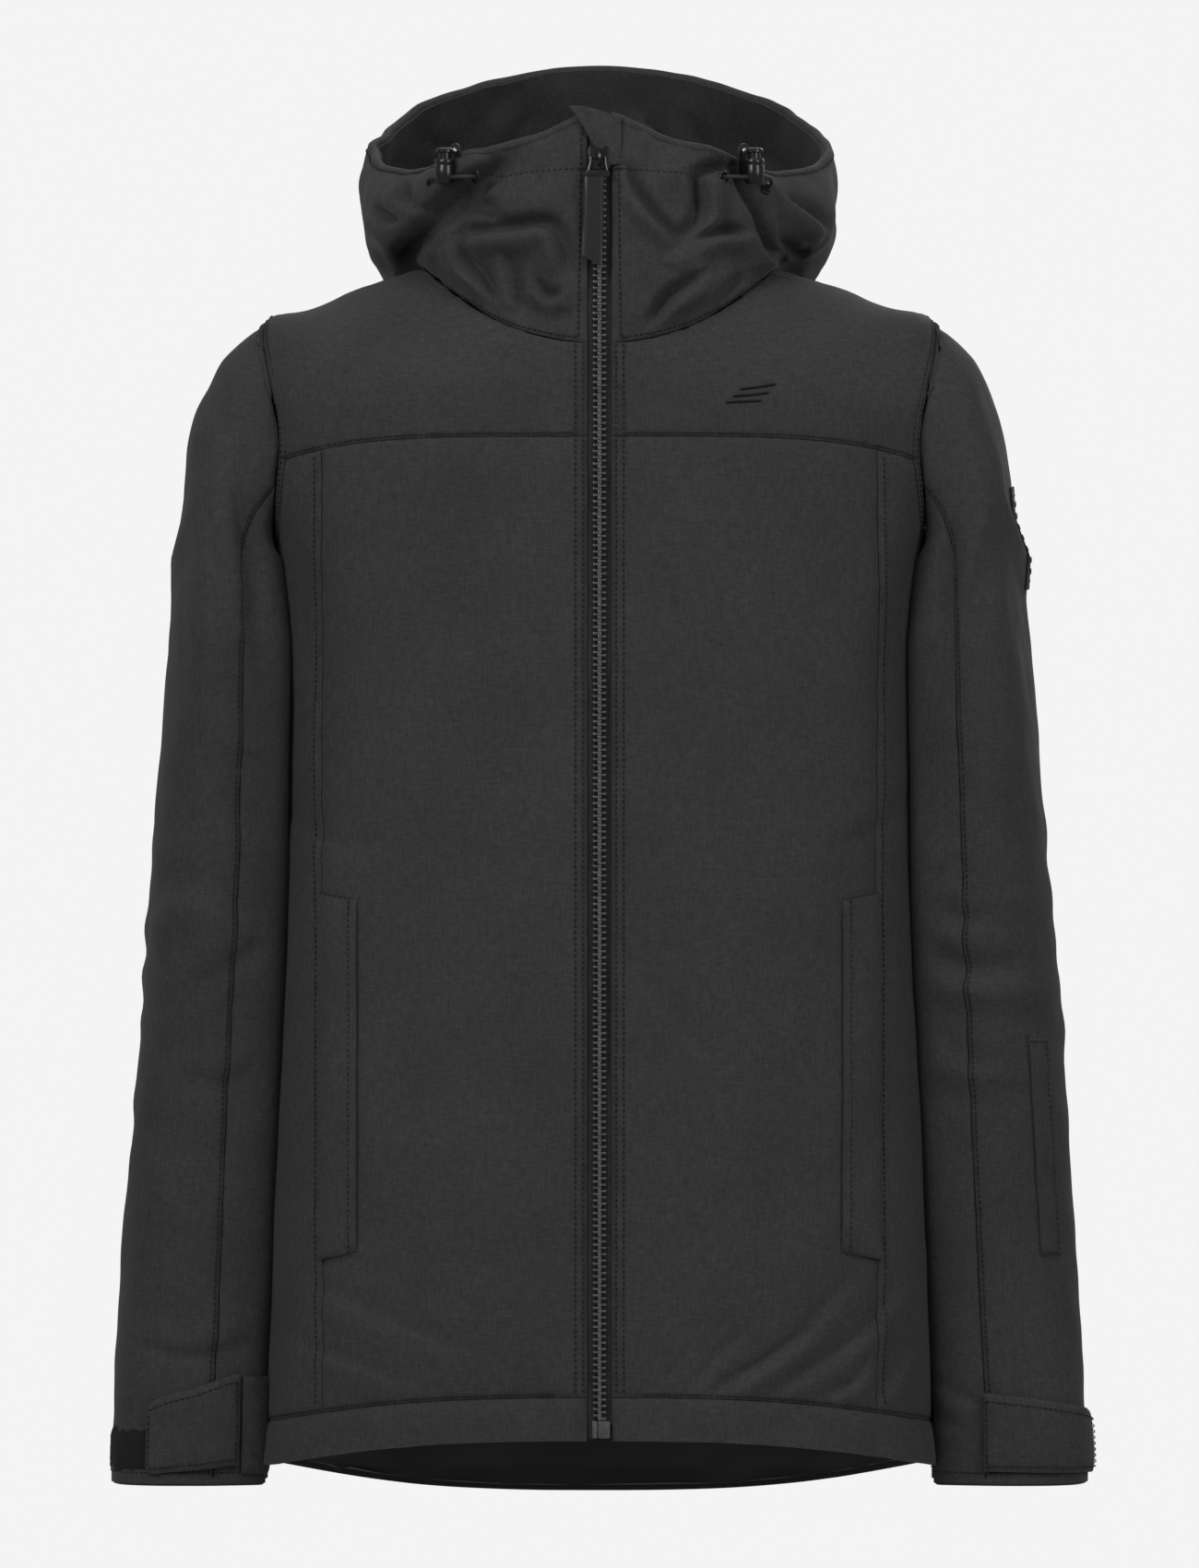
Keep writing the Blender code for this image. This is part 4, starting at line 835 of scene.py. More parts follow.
def make_pockets():
    """Hand-pocket welts: a folded strip with slanted ends, stitched round and bar-tacked."""
    low, high = ring_at(-0.547), ring_at(-0.346)
    for side, hand in (LEFT, RIGHT):
        across = shares(9, 0.05)
        rings = low + (high - low) * shares(60, 0.004)
        x = 0.1345 + (PRINCESS + 0.0005 - 0.1345) * across
        angle = np.array([torso_angle(ring, x) for ring in rings])
        slant = 0.030 * (1 - across)[None, :] * np.cos(np.linspace(0, math.pi, len(rings)))[:, None]
        ring = np.repeat(rings[:, None], len(x), 1) + slant
        panel(f"hand_pocket_welt_{hand}_cloth", torso, ring, angle, "jacket", (f"hand_pocket_welt_{hand}",), side,
              lift=0.0026, thick=0.0018, puff=0.0007, seams=(1, 1, 0, 1), fill=0.2)
        line = np.linspace(low + 0.01, high - 0.01, 120)
        edge = run_on(torso, line, torso_angle(line, 0.1385), side, 0.0032)
        runs = [edge]
        for z in (low + 0.004, high - 0.004):
            xs = np.linspace(0.1355, PRINCESS, 14)
            tilt = 0.022 * (PRINCESS - xs) / 0.02 * (1 if z < (low + high) / 2 else -1)
            runs.append(run_on(torso, np.full(14, z) + tilt, torso_angle(z, xs), side, 0.0030))
        sewn(f"pocket_stitching_{hand}", runs, "jacket")


def make_linings():
    quilt = dict(lift=-LINING_DEPTH, thick=0.0042, mat="lining_fabric", seams=(0, 0, 0, 0), fill=0.5)

    def padded_relief(points):
        z, x = points[..., 2], points[..., 0] + 0.5 * points[..., 1]
        channel = np.abs(np.sin(math.pi * z / 0.075)) ** 0.5 * np.abs(np.sin(math.pi * x / 0.090)) ** 0.5
        return torso_relief(points) - 0.0012 * channel + 0.0006 * waves(points, 0.03, 41)

    rings = 0.35 + (NECK_RING - 0.37) * shares(110, 0.004)
    for side, hand in (LEFT, RIGHT):
        def front(ring):
            start, edge = float(torso_angle(ring, 0.027)), armhole_edge(ring, 0)
            return start + (edge - start) * shares(26, 0.02)
        panel(f"lining_front_{hand}_quilt", torso, *lerp_grid(rings, front), "jacket", (f"lining_front_{hand}",),
              side, relief=padded_relief, **quilt)
    panel("lining_back_quilt", torso, *lerp_grid(rings, lambda r: back_columns(r, 48)), "jacket", ("lining_back",),
          relief=padded_relief, **quilt)


# ---------------------------------------------------------------- sleeves

def elbow_blend(hand, side):
    return (f"{hand}_sleeve", f"{hand}_forearm", (side * 0.2196, -0.065, -0.315), (side * 0.2196, -0.065, -0.420))


def shoulder_blend(hand, side):
    return ("jacket", f"{hand}_sleeve", (side * 0.210, -0.064, -0.035), (side * 0.210, -0.064, -0.255))


def make_sleeve(side, hand):
    tight = shares(70, 0.006)
    front = SEAM_BACK - 360 + (SEAM_FRONT - SEAM_BACK + 360) * tight
    under = SEAM_FRONT + (SEAM_BACK - SEAM_FRONT) * shares(34, 0.012)
    step = 0.05
    upper = np.concatenate([SPLIT_RING * shares(84, 0.004)[:-4],
                            np.arange(SPLIT_RING - 4 * step, SPLIT_RING + 1.5 * step, step)])
    upper = np.unique(np.round(upper, 5))
    lower = np.concatenate([np.arange(SPLIT_RING - step, SPLIT_RING + 4 * step, step),
                            SPLIT_RING + 4 * step + (CUFF_RING - SPLIT_RING - 4 * step) * shares(118, 0.004)[1:]])
    upper = upper[upper <= SPLIT_RING + step + 1e-6]
    shoulder, elbow = shoulder_blend(hand, side), elbow_blend(hand, side)
    for part, angles in (("outer", front), ("under", under)):
        replaced_upper = (f"sleeve_upper_{hand}",) if part == "outer" else ()
        replaced_lower = (f"sleeve_lower_{hand}",) if part == "outer" else ()
        panel(f"sleeve_{part}_top_{hand}_cloth", sleeve, *lerp_grid(upper, lambda r: angles), shoulder,
              replaced_upper, side, seams=(1, 0, 1, 1), joined=(-1,), fill=0.4, puff=0.0006)
        panel(f"sleeve_{part}_low_{hand}_cloth", sleeve, *lerp_grid(lower, lambda r: angles), elbow,
              replaced_lower, side, seams=(0, 0, 1, 1), joined=(0,), fill=0.4, puff=0.0006)
    around = np.linspace(0, 360, 49)[:-1]
    lining = dict(lift=-LINING_DEPTH, thick=0.0042, mat="lining_fabric", seams=(0, 0, 0, 0), closed=True,
                  fill=0.5)
    panel(f"sleeve_lining_top_{hand}_quilt", sleeve, *lerp_grid(np.linspace(0.5, 5.0, 46), lambda r: around),
          shoulder, (f"sleeve_lining_upper_{hand}",), side, **lining)
    panel(f"sleeve_lining_low_{hand}_quilt", sleeve, *lerp_grid(np.linspace(5.0, 9.93, 50), lambda r: around),
          elbow, (f"sleeve_lining_lower_{hand}",), side, **lining)
    rings = np.linspace(0.5, SPLIT_RING, 150)
    line = [run_on(sleeve, rings, np.full(150, SEAM_FRONT - 3.5), side, 0.0003)]
    sewn(f"sleeve_seam_top_{hand}", line, shoulder)
    rings = np.linspace(SPLIT_RING, 9.9, 220)
    low = [run_on(sleeve, rings, np.full(220, SEAM_FRONT - 3.5), side, 0.0003)]
    low.append(run_on(sleeve, np.full(160, 9.80), np.linspace(0, 359, 160), side, 0.0006))
    sewn(f"sleeve_seam_low_{hand}", low, elbow)


CUFFS = {
    # angles of the tab's sewn and free ends, and of the loop patch's two ends
    "left": ((112.0, 4.0), (-66.0, 64.0)),
    "right": ((126.5, 66.0), (-60.0, 88.0)),
}


def make_rolls(side, hand):
    """The seam allowance inside the armhole, and the turned edge of the cuff."""
    turn = np.linspace(0, 360, 121)
    points = armhole_point(turn)
    points[:, 0] -= 0.0045 + 0.0015 * np.cos(np.radians(turn))
    roll = slab_tube(f"armhole_{hand}", points * np.array((side, 1, 1)), 0.0036)
    add(f"armhole_allowance_{hand}", roll, "shell_fabric", "jacket")
    line, normal = run_on(sleeve, np.full(turn.shape, 9.955), turn, side)
    roll = slab_tube(f"cuff_edge_{hand}", line - normal * 0.0021, 0.0024)
    add(f"cuff_edge_{hand}_roll", roll, "shell_fabric", f"{hand}_forearm")


def make_cuff(side, hand):
    (sewn_end, free_end), (patch_low, patch_high) = CUFFS[hand]
    forearm, tab_body = f"{hand}_forearm", f"{hand}_cuff_tab"
    across = shares(34, 0.012)
    down = shares(18, 0.02)
    angle = sewn_end + (free_end - sewn_end) * across
    top = TAB_TOP[hand] + 0.34 * np.clip(across - 0.05, 0, 1) * (1 if hand == "right" else 0.7)
    corner = 0.10 * np.clip((across - 0.93) / 0.07, 0, 1) ** 2
    low = TAB_BOTTOM - (0.13 if hand == "right" else 0.05) * (1 - across)
    ring = (low - corner)[None, :] + ((top + corner) - (low - corner))[None, :] * down[:, None]
    panel(f"cuff_tab_{hand}_cloth", sleeve, ring, np.repeat(angle[None, :], len(down), 0), tab_body,
          (f"cuff_tab_{hand}",), side, lift=0.0042, thick=0.0019, puff=0.0005, seams=(1, 1, 1, 1), fill=0.2)
    inset = 0.085
    edge_top = run_on(sleeve, top + inset, angle, side, 0.0045)
    edge_low = run_on(sleeve, low - inset, angle, side, 0.0045)
    down_line = np.linspace(TAB_BOTTOM - inset, top[-1] + inset, 20)
    end_inset = 2.2 if sewn_end > free_end else -2.2
    end = run_on(sleeve, down_line, np.full(20, free_end + end_inset), side, 0.0045)
    start = run_on(sleeve, np.linspace(TAB_BOTTOM - 0.05, top[0] + 0.05, 20), np.full(20, sewn_end - 2.0), side,
                   0.0046)
    sewn(f"cuff_tab_stitching_{hand}", [edge_top, edge_low, end, start], tab_body)
    if hand == "right":
        held = 127.6 + 28.4 * shares(18, 0.03)
        rings = TAB_TOP[hand] + 0.03 + (TAB_BOTTOM - TAB_TOP[hand] - 0.03) * shares(24, 0.02)
        panel("cuff_tab_root_right_cloth", sleeve, *lerp_grid(rings, lambda r: held), forearm, (), side,
              lift=0.0030, thick=0.0019, puff=0.0005, seams=(1, 1, 1, 1))
    around = patch_low + (patch_high - patch_low) * shares(44, 0.012)
    rings = PATCH_TOP + (PATCH_BOTTOM - PATCH_TOP) * shares(18, 0.02)
    pile = lambda p: sleeve_relief(p) + 0.00012 * waves(p, 0.0035, 51)
    panel(f"cuff_loop_patch_{hand}_pile", sleeve, *lerp_grid(rings, lambda r: around), forearm,
          (f"cuff_loop_patch_{hand}",), side, lift=0.0014, thick=0.0011, mat="hook_and_loop", relief=pile)


def make_sleeve_pocket():
    """The pass pocket's welt on the left forearm, with its stitching."""
    across = shares(9, 0.05)
    rings = POCKET_TOP + (POCKET_BOTTOM - POCKET_TOP) * shares(44, 0.006)
    angle = 46.0 + (67.0 - 46.0) * across
    panel("sleeve_pocket_welt_cloth", sleeve, *lerp_grid(rings, lambda r: angle), "left_forearm",
          ("sleeve_pocket_welt",), lift=0.0023, thick=0.0016, puff=0.0004, seams=(1, 1, 1, 0), fill=0.2)
    runs = [run_on(sleeve, np.linspace(POCKET_TOP, POCKET_BOTTOM, 80), np.full(80, 48.5), 1, 0.0026)]
    for ring in (POCKET_TOP + 0.02, POCKET_BOTTOM - 0.02):
        runs.append(run_on(sleeve, np.full(14, ring), np.linspace(47.0, 70.0, 14), 1, 0.0026))
    sewn("sleeve_pocket_stitching", runs, "left_forearm")


# ---------------------------------------------------------------- collar and hood

def slab_tube(name, points, radius):
    """A rolled edge along points."""
    return merged(name, [(tube_mesh(points, radius, 12), same)])


def make_hood():
    blend = ("jacket", "hood", (0, 0.0042, 0.0056), (0, 0.030, 0.040))
    rings = 5.0 * shares(76, 0.006)
    edge_angles = []
    scan = np.arange(0, 8, 0.02)
    for ring in rings:
        x = hood(np.full(scan.shape, ring), scan)[:, 0]
        edge_angles.append(float(np.interp(FRONT_EDGE, x, scan)))
    edges = dict(zip(rings.tolist(), edge_angles))
    for side, hand in (LEFT, RIGHT):
        collar = lambda r: edges[float(r)] + (HOOD_SPLIT - edges[float(r)]) * shares(60, 0.008)
        panel(f"collar_{hand}_cloth", hood, *lerp_grid(rings, collar), "jacket", (f"collar_{hand}",), side,
              puff=0.0008, seams=(1, 1, 1, 0), fill=0.4)
        turn = HOOD_SPLIT + (HOOD_CENTER - HOOD_SPLIT) * shares(44, 0.006)
        panel(f"hood_side_{hand}_cloth", hood, *lerp_grid(rings, lambda r: turn), blend, (f"hood_side_{hand}",),
              side, puff=0.0010, seams=(1, 1, 0, 1), fill=0.4)
        inner = 16.0 + (HOOD_SPLIT - 16.0) * shares(24, 0.01)
        # The collar's inside wears the shell cloth darkened to 0.8, painted shade for the hollow of the collar.
        panel(f"collar_lining_{hand}_quilt", hood, *lerp_grid(rings, lambda r: inner), "jacket",
              (f"collar_lining_{hand}",), side, lift=-0.0032, thick=0.0030, mat="facing_painted_shade",
              seams=(0, 0, 0, 0), slot="lining_fabric", fill=0.4)
    turn = HOOD_CENTER + (360 - 2 * HOOD_CENTER) * shares(44, 0.006)
    panel("hood_center_panel_cloth", hood, *lerp_grid(rings, lambda r: turn), blend, ("hood_center_panel",),
          puff=0.0010, seams=(1, 1, 1, 1), fill=0.4)
    # The hood's inside wears the shell cloth darkened to 0.8, painted shade for the hollow of the hood.
    turn = HOOD_SPLIT + 0.6 + (360 - 2 * HOOD_SPLIT - 1.2) * shares(110, 0.004)
    panel("hood_facing_cloth", hood, *lerp_grid(rings, lambda r: turn), blend, ("hood_lining",),
          lift=-0.0032, thick=0.0030, mat="facing_painted_shade", seams=(0, 0, 0, 0), fill=0.4, slot="lining_fabric")
    for name, low, high, rider in (("collar_rim_left", 4.2, HOOD_SPLIT, "jacket"),
                                   ("collar_rim_right", 360 - HOOD_SPLIT, 355.8, "jacket"),
                                   ("hood_rim", HOOD_SPLIT, 360 - HOOD_SPLIT, blend)):
        angles = np.linspace(low, high, int((high - low) * 1.4))
        line, normal = run_on(hood, np.full(angles.shape, 4.985), angles)
        roll = slab_tube(name, line - normal * 0.0024, 0.0027)
        add(name + "_roll", roll, "shell_fabric", rider)
    runs = [run_on(hood, np.full(500, 4.80), np.linspace(HOOD_SPLIT + 1, 359 - HOOD_SPLIT, 500), 1, 0.0003)]
    for side in (1, -1):
        runs.append(run_on(hood, np.linspace(0.3, 4.7, 120), np.full(120, HOOD_CENTER - 1.2), side, 0.0004))
    # The thread material is darkened as painted shade for the stitch pits.
    add("hood_stitching", stitch_mesh(runs), "thread", blend)
    runs = []
    for side in (1, -1):
        turn = np.linspace(3.5, 44.0, 160)
        runs.append(run_on(hood, np.interp(turn, (0, 36, 44), (3.77, 4.0, 4.3)), turn, side, 0.0006))
        runs.append(run_on(hood, np.linspace(0.1, 4.9, 160), np.full(160, 6.4), side, 0.0006))
        runs.append(run_on(hood, np.full(120, 0.16), np.linspace(6.0, 60.0, 120), side, 0.0004))
    sewn("collar_stitching", runs, "jacket")


# ---------------------------------------------------------------- zip

def zip_point(x, y, z):
    """A point in the zip's own axes (z along it from its lower end) in the jacket's."""
    c, s = math.cos(ZIP_LEAN), math.sin(ZIP_LEAN)
    return (x, ZIP_BOTTOM[0] + y * c + z * s, ZIP_BOTTOM[1] - y * s + z * c)


def shaped(outline, low, high, bevel):
    """A flat outline of (x, z) with thickness from y = low to y = high, its edges rounded."""
    bm = bmesh.new()
    face = bm.faces.new([bm.verts.new((x, low, z)) for x, z in outline])
    top = bmesh.ops.extrude_face_region(bm, geom=[face])["geom"]
    bmesh.ops.translate(bm, verts=[v for v in top if isinstance(v, bmesh.types.BMVert)], vec=(0, high - low, 0))
    bmesh.ops.recalc_face_normals(bm, faces=bm.faces)
    if bevel:
        bmesh.ops.bevel(bm, geom=list(bm.edges), offset=bevel, segments=2, affect="EDGES", profile=0.6)
    return bm


def merged(name, pieces):
    """One mesh from (bmesh, place) pairs, where place maps a point to its world place."""
    verts, faces = [], []
    for bm, place in pieces:
        start = len(verts)
        bm.verts.index_update()
        verts += [place(*v.co) for v in bm.verts]
        faces += [[start + v.index for v in f.verts] for f in bm.faces]
    mesh = bpy.data.meshes.new(name)
    mesh.from_pydata(verts, [], faces)
    mesh.shade_smooth()
    mesh.set_sharp_from_angle(angle=math.radians(42))
    return mesh


TOOTH_PITCH = 0.0035


def make_zip():
    half = [(0.0036, -0.0007), (0.0036, 0.0007), (0.0012, 0.00055), (0.0004, 0.00095), (-0.0006, 0.00095),
            (-0.0010, 0.0004), (-0.0010, -0.0004), (-0.0006, -0.00095), (0.0004, -0.00095), (0.0012, -0.00055)]
    tooth = shaped(half, -0.0007, 0.0024, 0.00022)
    count = int((ZIP_LENGTH - 0.017) / TOOTH_PITCH)
    for side, hand in (LEFT, RIGHT):
        shift = 0.0 if side > 0 else TOOTH_PITCH / 2
        places = []
        for k in range(count):
            z = 0.0125 + shift + k * TOOTH_PITCH
            places.append((tooth, lambda x, y, t, z=z: zip_point(side * x, y, z + t)))
        mesh = merged(f"zip_teeth_{hand}", places)
        if side < 0:
            mesh.flip_normals()
        add(f"zip_teeth_{hand}", mesh, "zip_plastic", "jacket", (f"zip_chain_{hand}",))
        make_tape(side, hand)


def make_tape(side, hand):
    """The woven tape: a strip with a raised cord beside the teeth and fine ribs along it."""
    across = np.concatenate([np.linspace(0.0009, 0.0042, 4), np.linspace(0.0045, 0.0124, 9)])
    along = np.linspace(0.0015, ZIP_LENGTH - 0.0025, 200)
    rib = 0.00022 * np.cos(across * 2 * math.pi / 0.0016)
    rib += 0.0007 * np.exp(-((across - 0.0044) / 0.0008) ** 2)
    grids = []
    for y in (0.0036 - rib, np.full(across.shape, 0.0044)):
        grids.append(np.array([[zip_point(side * x, yy, z) for x, yy in zip(across, y)] for z in along]))
    add(f"zip_tape_{hand}_weave", slab_mesh(f"zip_tape_{hand}", grids[0], grids[1], False), "tape", "jacket",
        (f"zip_tape_{hand}",))


def rounded(outline, radius, steps=4):
    """A closed outline of (x, z) with its corners rounded."""
    result = []
    count = len(outline)
    for k in range(count):
        before, here, after = (np.array(outline[(k + d) % count], float) for d in (-1, 0, 1))
        r = min(radius, np.linalg.norm(before - here) * 0.45, np.linalg.norm(after - here) * 0.45)
        a = here + (before - here) / np.linalg.norm(before - here) * r
        b = here + (after - here) / np.linalg.norm(after - here) * r
        for t in np.linspace(0, 1, steps + 1):
            result.append(tuple((1 - t) ** 2 * a + 2 * t * (1 - t) * here + t * t * b))
    return result


def tube_mesh(points, radius, sides=10, squash=1.0):
    """A round tube along points, as (bmesh) with closed ends."""
    points = np.asarray(points, float)
    bm = bmesh.new()
    way = np.gradient(points, axis=0)
    way /= np.linalg.norm(way, axis=1, keepdims=True)
    side = np.cross(way[0], (0.0, 0.0, 1.0) if abs(way[0][2]) < 0.9 else (0.0, 1.0, 0.0))
    rings = []
    for point, direction in zip(points, way):
        side = side - direction * (side @ direction)
        side /= np.linalg.norm(side)
        up = np.cross(direction, side)
        rings.append([bm.verts.new(point + radius * (math.cos(a) * side + squash * math.sin(a) * up))
                      for a in np.linspace(0, 2 * math.pi, sides, endpoint=False)])
    for first, second in zip(rings, rings[1:]):
        for k in range(sides):
            bm.faces.new((first[k], first[(k + 1) % sides], second[(k + 1) % sides], second[k]))
    bm.faces.new(rings[0][::-1])
    bm.faces.new(rings[-1])
    bmesh.ops.recalc_face_normals(bm, faces=bm.faces)
    return bm


def make_zip_ends():
    """The box and pin at the lower end."""
    box = shaped(rounded([(-0.0008, 0.0016), (0.0058, 0.0016), (0.0058, 0.0112), (-0.0008, 0.0112)], 0.0012),
                 -0.0016, 0.0025, 0.0004)
    step = shaped(rounded([(0.0006, 0.0040), (0.0046, 0.0040), (0.0046, 0.0090), (0.0006, 0.0090)], 0.0008),
                  -0.0022, -0.0014, 0.0003)
    add("zip_box_moulding", merged("zip_box", [(box, zip_point), (step, zip_point)]), "zip_plastic", "jacket",
        ("zip_box",))
    pin = shaped(rounded([(-0.0040, 0.0016), (-0.0012, 0.0016), (-0.0012, 0.0112), (-0.0040, 0.0112)], 0.0010),
                 -0.0010, 0.0025, 0.0004)
    add("zip_pin_moulding", merged("zip_pin", [(pin, zip_point)]), "zip_plastic", "jacket",
        ("zip_pin",))


SLIDER_AT = (SLIDER_HEIGHT - ZIP_BOTTOM[1]) / math.cos(ZIP_LEAN)


def at_slider(x, y, z):
    return zip_point(x, y, z + SLIDER_AT)


def make_slider():
    """Slider body with flared shoulders, its bridge, the pull's frame and the webbing pull."""
    front = rounded([(-0.0062, 0.0062), (-0.0050, -0.0066), (0.0050, -0.0066), (0.0062, 0.0062), (0.0026, 0.0066),
                     (0.0, 0.0046), (-0.0026, 0.0066)], 0.0016)
    plates = [(shaped(front, -0.0030, -0.0014, 0.0005), at_slider),
              (shaped(front, 0.0049, 0.0061, 0.0004), at_slider)]
    for side in (1, -1):
        flange = [(side * 0.0052, -0.0062), (side * 0.0063, -0.0062), (side * 0.0063, 0.0050), (side * 0.0052, 0.0050)]
        plates.append((shaped(flange, -0.0022, 0.0022, 0.0004), at_slider))
    arch = [(0.0, -0.0032 - 0.0036 * math.sin(a), 0.0042 * math.cos(a)) for a in np.linspace(0.1, math.pi - 0.1, 14)]
    plates.append((tube_mesh(arch, 0.0009, 8), at_slider))
    mesh = merged("zip_slider", plates)
    add("zip_slider_casting", mesh, "zip_metal", "zip_slider", ("zip_slider",))
    outer = rounded([(-0.0046, 0.0007), (0.0046, 0.0007), (0.0050, -0.0040), (0.0060, -0.0075), (0.0060, -0.0108),
                     (-0.0060, -0.0108), (-0.0060, -0.0075), (-0.0050, -0.0040)], 0.0012, 3)
    shift = lambda x, y, z: at_slider(x - 0.0010, y - 0.0042, z)
    bars = []
    ring = [(x * 0.86, 0.0, z if z > -0.009 else z + 0.0006) for x, z in outer]
    ring = [(x, y, min(z, 0.0001)) for x, y, z in ring]
    bars.append((tube_mesh(ring + ring[:1], 0.00085, 8), shift))
    bars.append((shaped(rounded([(-0.0064, -0.0072), (0.0064, -0.0072), (0.0064, -0.0112), (-0.0064, -0.0112)], 0.0010),
                        -0.0009, 0.0009, 0.0004), shift))
    add("zip_pull_casting", merged("zip_pull_frame", bars), "zip_metal", "zip_pull",
        ("zip_pull_frame",))
    make_strap()


def make_strap():
    """The webbing pull: a slightly wavy strip with thinned edges, slanted at the bottom."""
    rows, columns = 60, 12
    down, over = np.linspace(0, 1, rows), np.linspace(0, 1, columns)
    outer, inner = np.zeros((rows, columns, 3)), np.zeros((rows, columns, 3))
    for i, t in enumerate(down):
        low = -0.0104 - 0.0006
        for j, s in enumerate(over):
            bottom = -0.0545 - 0.0075 * s
            z = low + (bottom - low) * t
            x = -0.0030 + (-0.0052 + 0.0106 * s) * (1 + 0.06 * t) - 0.0012 * t
            wave = 0.0006 * math.sin(3.0 * t) + 0.0002 * math.cos(2 * math.pi * x / 0.0022)
            edge = 0.0004 * (1 - min(1.0, 8 * s, 8 * (1 - s)))
            outer[i, j] = at_slider(x, -0.0053 - wave + edge, z)
            inner[i, j] = at_slider(x, -0.0036 - wave - edge, z)
    add("zip_pull_webbing", slab_mesh("zip_pull_strap", outer, inner, False), "leather", "zip_pull",
        ("zip_pull_strap",))


def make_chin_guard():
    """The flap that folds over the zip's top: a small pleated triangle of shell fabric."""
    rows, columns = 26, 34
    outer, inner = np.zeros((rows, columns, 3)), np.zeros((rows, columns, 3))
    for i, t in enumerate(np.linspace(0, 1, rows)):
        for j, s in enumerate(np.linspace(0, 1, columns)):
            x = -0.0170 + 0.0290 * s
            top = 0.0292 - 0.0050 * s + 0.0010 * math.sin(5 * s)
            low = 0.0282 - 0.0320 * min(1.0, s / 0.66) ** 1.2
            z = low + (top - low) * t
            bulge = 0.0012 * math.sin(math.pi * s) * math.sin(math.pi * t) ** 0.5
            pleat = 0.0008 * math.sin(9 * s + 4 * t)
            y = -0.0012 - bulge - 0.5 * pleat
            outer[i, j] = at_slider(x, y - 0.0002, z)
            inner[i, j] = at_slider(x, y + 0.0012, z)
    add("chin_guard_cloth", slab_mesh("chin_guard", outer, inner, False), "shell_fabric", "jacket",
        ("chin_guard",))


# ---------------------------------------------------------------- small parts

def turned(profile, place, axes, sides=28):
    """A turned piece as (bmesh): a profile of (radius, height) about the third of three axes."""
    bm = bmesh.new()
    across, out, up = axes
    rings = []
    for radius, height in profile:
        if radius < 1e-6:
            rings.append([bm.verts.new(place + up * height)])
        else:
            rings.append([bm.verts.new(place + up * height + radius * (math.cos(a) * across + math.sin(a) * out))
                          for a in np.linspace(0, 2 * math.pi, sides, endpoint=False)])
    for first, second in zip(rings, rings[1:]):
        for k in range(sides):
            nxt = (k + 1) % sides
            corners = [first[k % len(first)], first[nxt % len(first)],
                       second[nxt % len(second)], second[k % len(second)]]
            unique = list(dict.fromkeys(corners))
            if len(unique) > 2:
                bm.faces.new(unique)
    bmesh.ops.recalc_face_normals(bm, faces=bm.faces)
    return bm


def same(x, y, z):
    return (x, y, z)


def lock_axes(side):
    along = np.array((math.cos(LOCK_TURN), math.sin(LOCK_TURN), 0.0))
    out = np.array((math.sin(LOCK_TURN), -math.cos(LOCK_TURN), 0.0))
    flip = np.array((side, 1.0, 1.0))
    return along * flip, out * flip, np.array((0.0, 0.0, 1.0))


def make_locks():
    for side, hand in (LEFT, RIGHT):
        along, out, up = axes = lock_axes(side)
        base = np.array(LOCK_PLACE) * np.array((side, 1, 1))
        middle = base + out * LOCK_STANDOFF
        barrel = turned([(0, 0.0062), (0.0042, 0.0062), (0.0043, 0.0069), (0.0050, 0.0070), (0.0055, 0.0065),
                         (0.0056, 0.0045), (0.0052, 0.0038), (0.0056, 0.0030), (0.0056, -0.0050), (0.0052, -0.0058),
                         (0.0045, -0.0069), (0.0030, -0.0070), (0, -0.0070)], middle, axes)
        add(f"cord_lock_barrel_{hand}", merged("barrel", [(barrel, same)]), "lock_plastic", f"{hand}_cord_lock",
            (f"cord_lock_body_{hand}",))
        button = turned([(0, 0.0130), (0.0030, 0.0130), (0.0043, 0.0128), (0.0050, 0.0121), (0.0050, 0.0106),
                         (0.0045, 0.0103), (0.0035, 0.0102), (0.0035, 0.0064), (0, 0.0064)], middle, axes)
        add(f"cord_lock_cap_{hand}", merged("cap", [(button, same)]), "lock_plastic", f"{hand}_cord_lock_button",
            (f"cord_lock_button_{hand}",))
        route = spline([tuple(base + along * a + out * b + up * c) for a, b, c in CORD_ROUTE],
                       np.linspace(0, len(CORD_ROUTE) - 1, 60))
        cord = merged("cord", [(tube_mesh(route, CORD_RADIUS, 10), same)])
        add(f"hood_cord_{hand}_braid", cord, "cord", "jacket", (f"hood_cord_{hand}",))
        make_lock_tab(hand, base, axes)
        for end in (route[0], route[-1]):
            eyelet = turned([(0.0032, -0.0012), (0.0036, 0.0), (0.0030, 0.0008), (0.0018, 0.0006), (0.0016, -0.0012)],
                            end - out * 0.0008, (along, up, out), 20)
            name = "front" if end is route[0] else "rear"
            add(f"eyelet_{hand}_{name}", merged("eyelet", [(eyelet, same)]), "zip_metal", "jacket")


def make_lock_tab(hand, base, axes):
    """The leather tab behind each lock, with a rivet."""
    along, out, up = axes
    outline = rounded([(-0.0055, -0.0050), (0.0055, -0.0050), (0.0050, 0.0110), (0.0026, 0.0158), (-0.0026, 0.0158),
                       (-0.0050, 0.0110)], 0.0022)
    place = lambda x, y, z: tuple(base + along * x + out * (TAB_STANDOFF - y) + up * z)
    tab = merged("tab", [(shaped(outline, -0.0007, 0.0007, 0.0003), place)])
    add(f"cord_tab_{hand}_leather", tab, "leather", "jacket", (f"cord_tab_{hand}",))
    rivet = turned([(0, 0.0014), (0.0010, 0.0012), (0.0017, 0.0006), (0.0018, 0.0)],
                   base + out * (TAB_STANDOFF + 0.0006) + up * 0.0118, (along, up, out), 20)
    add(f"cord_tab_rivet_{hand}", merged("rivet", [(rivet, same)]), "steel", "jacket")


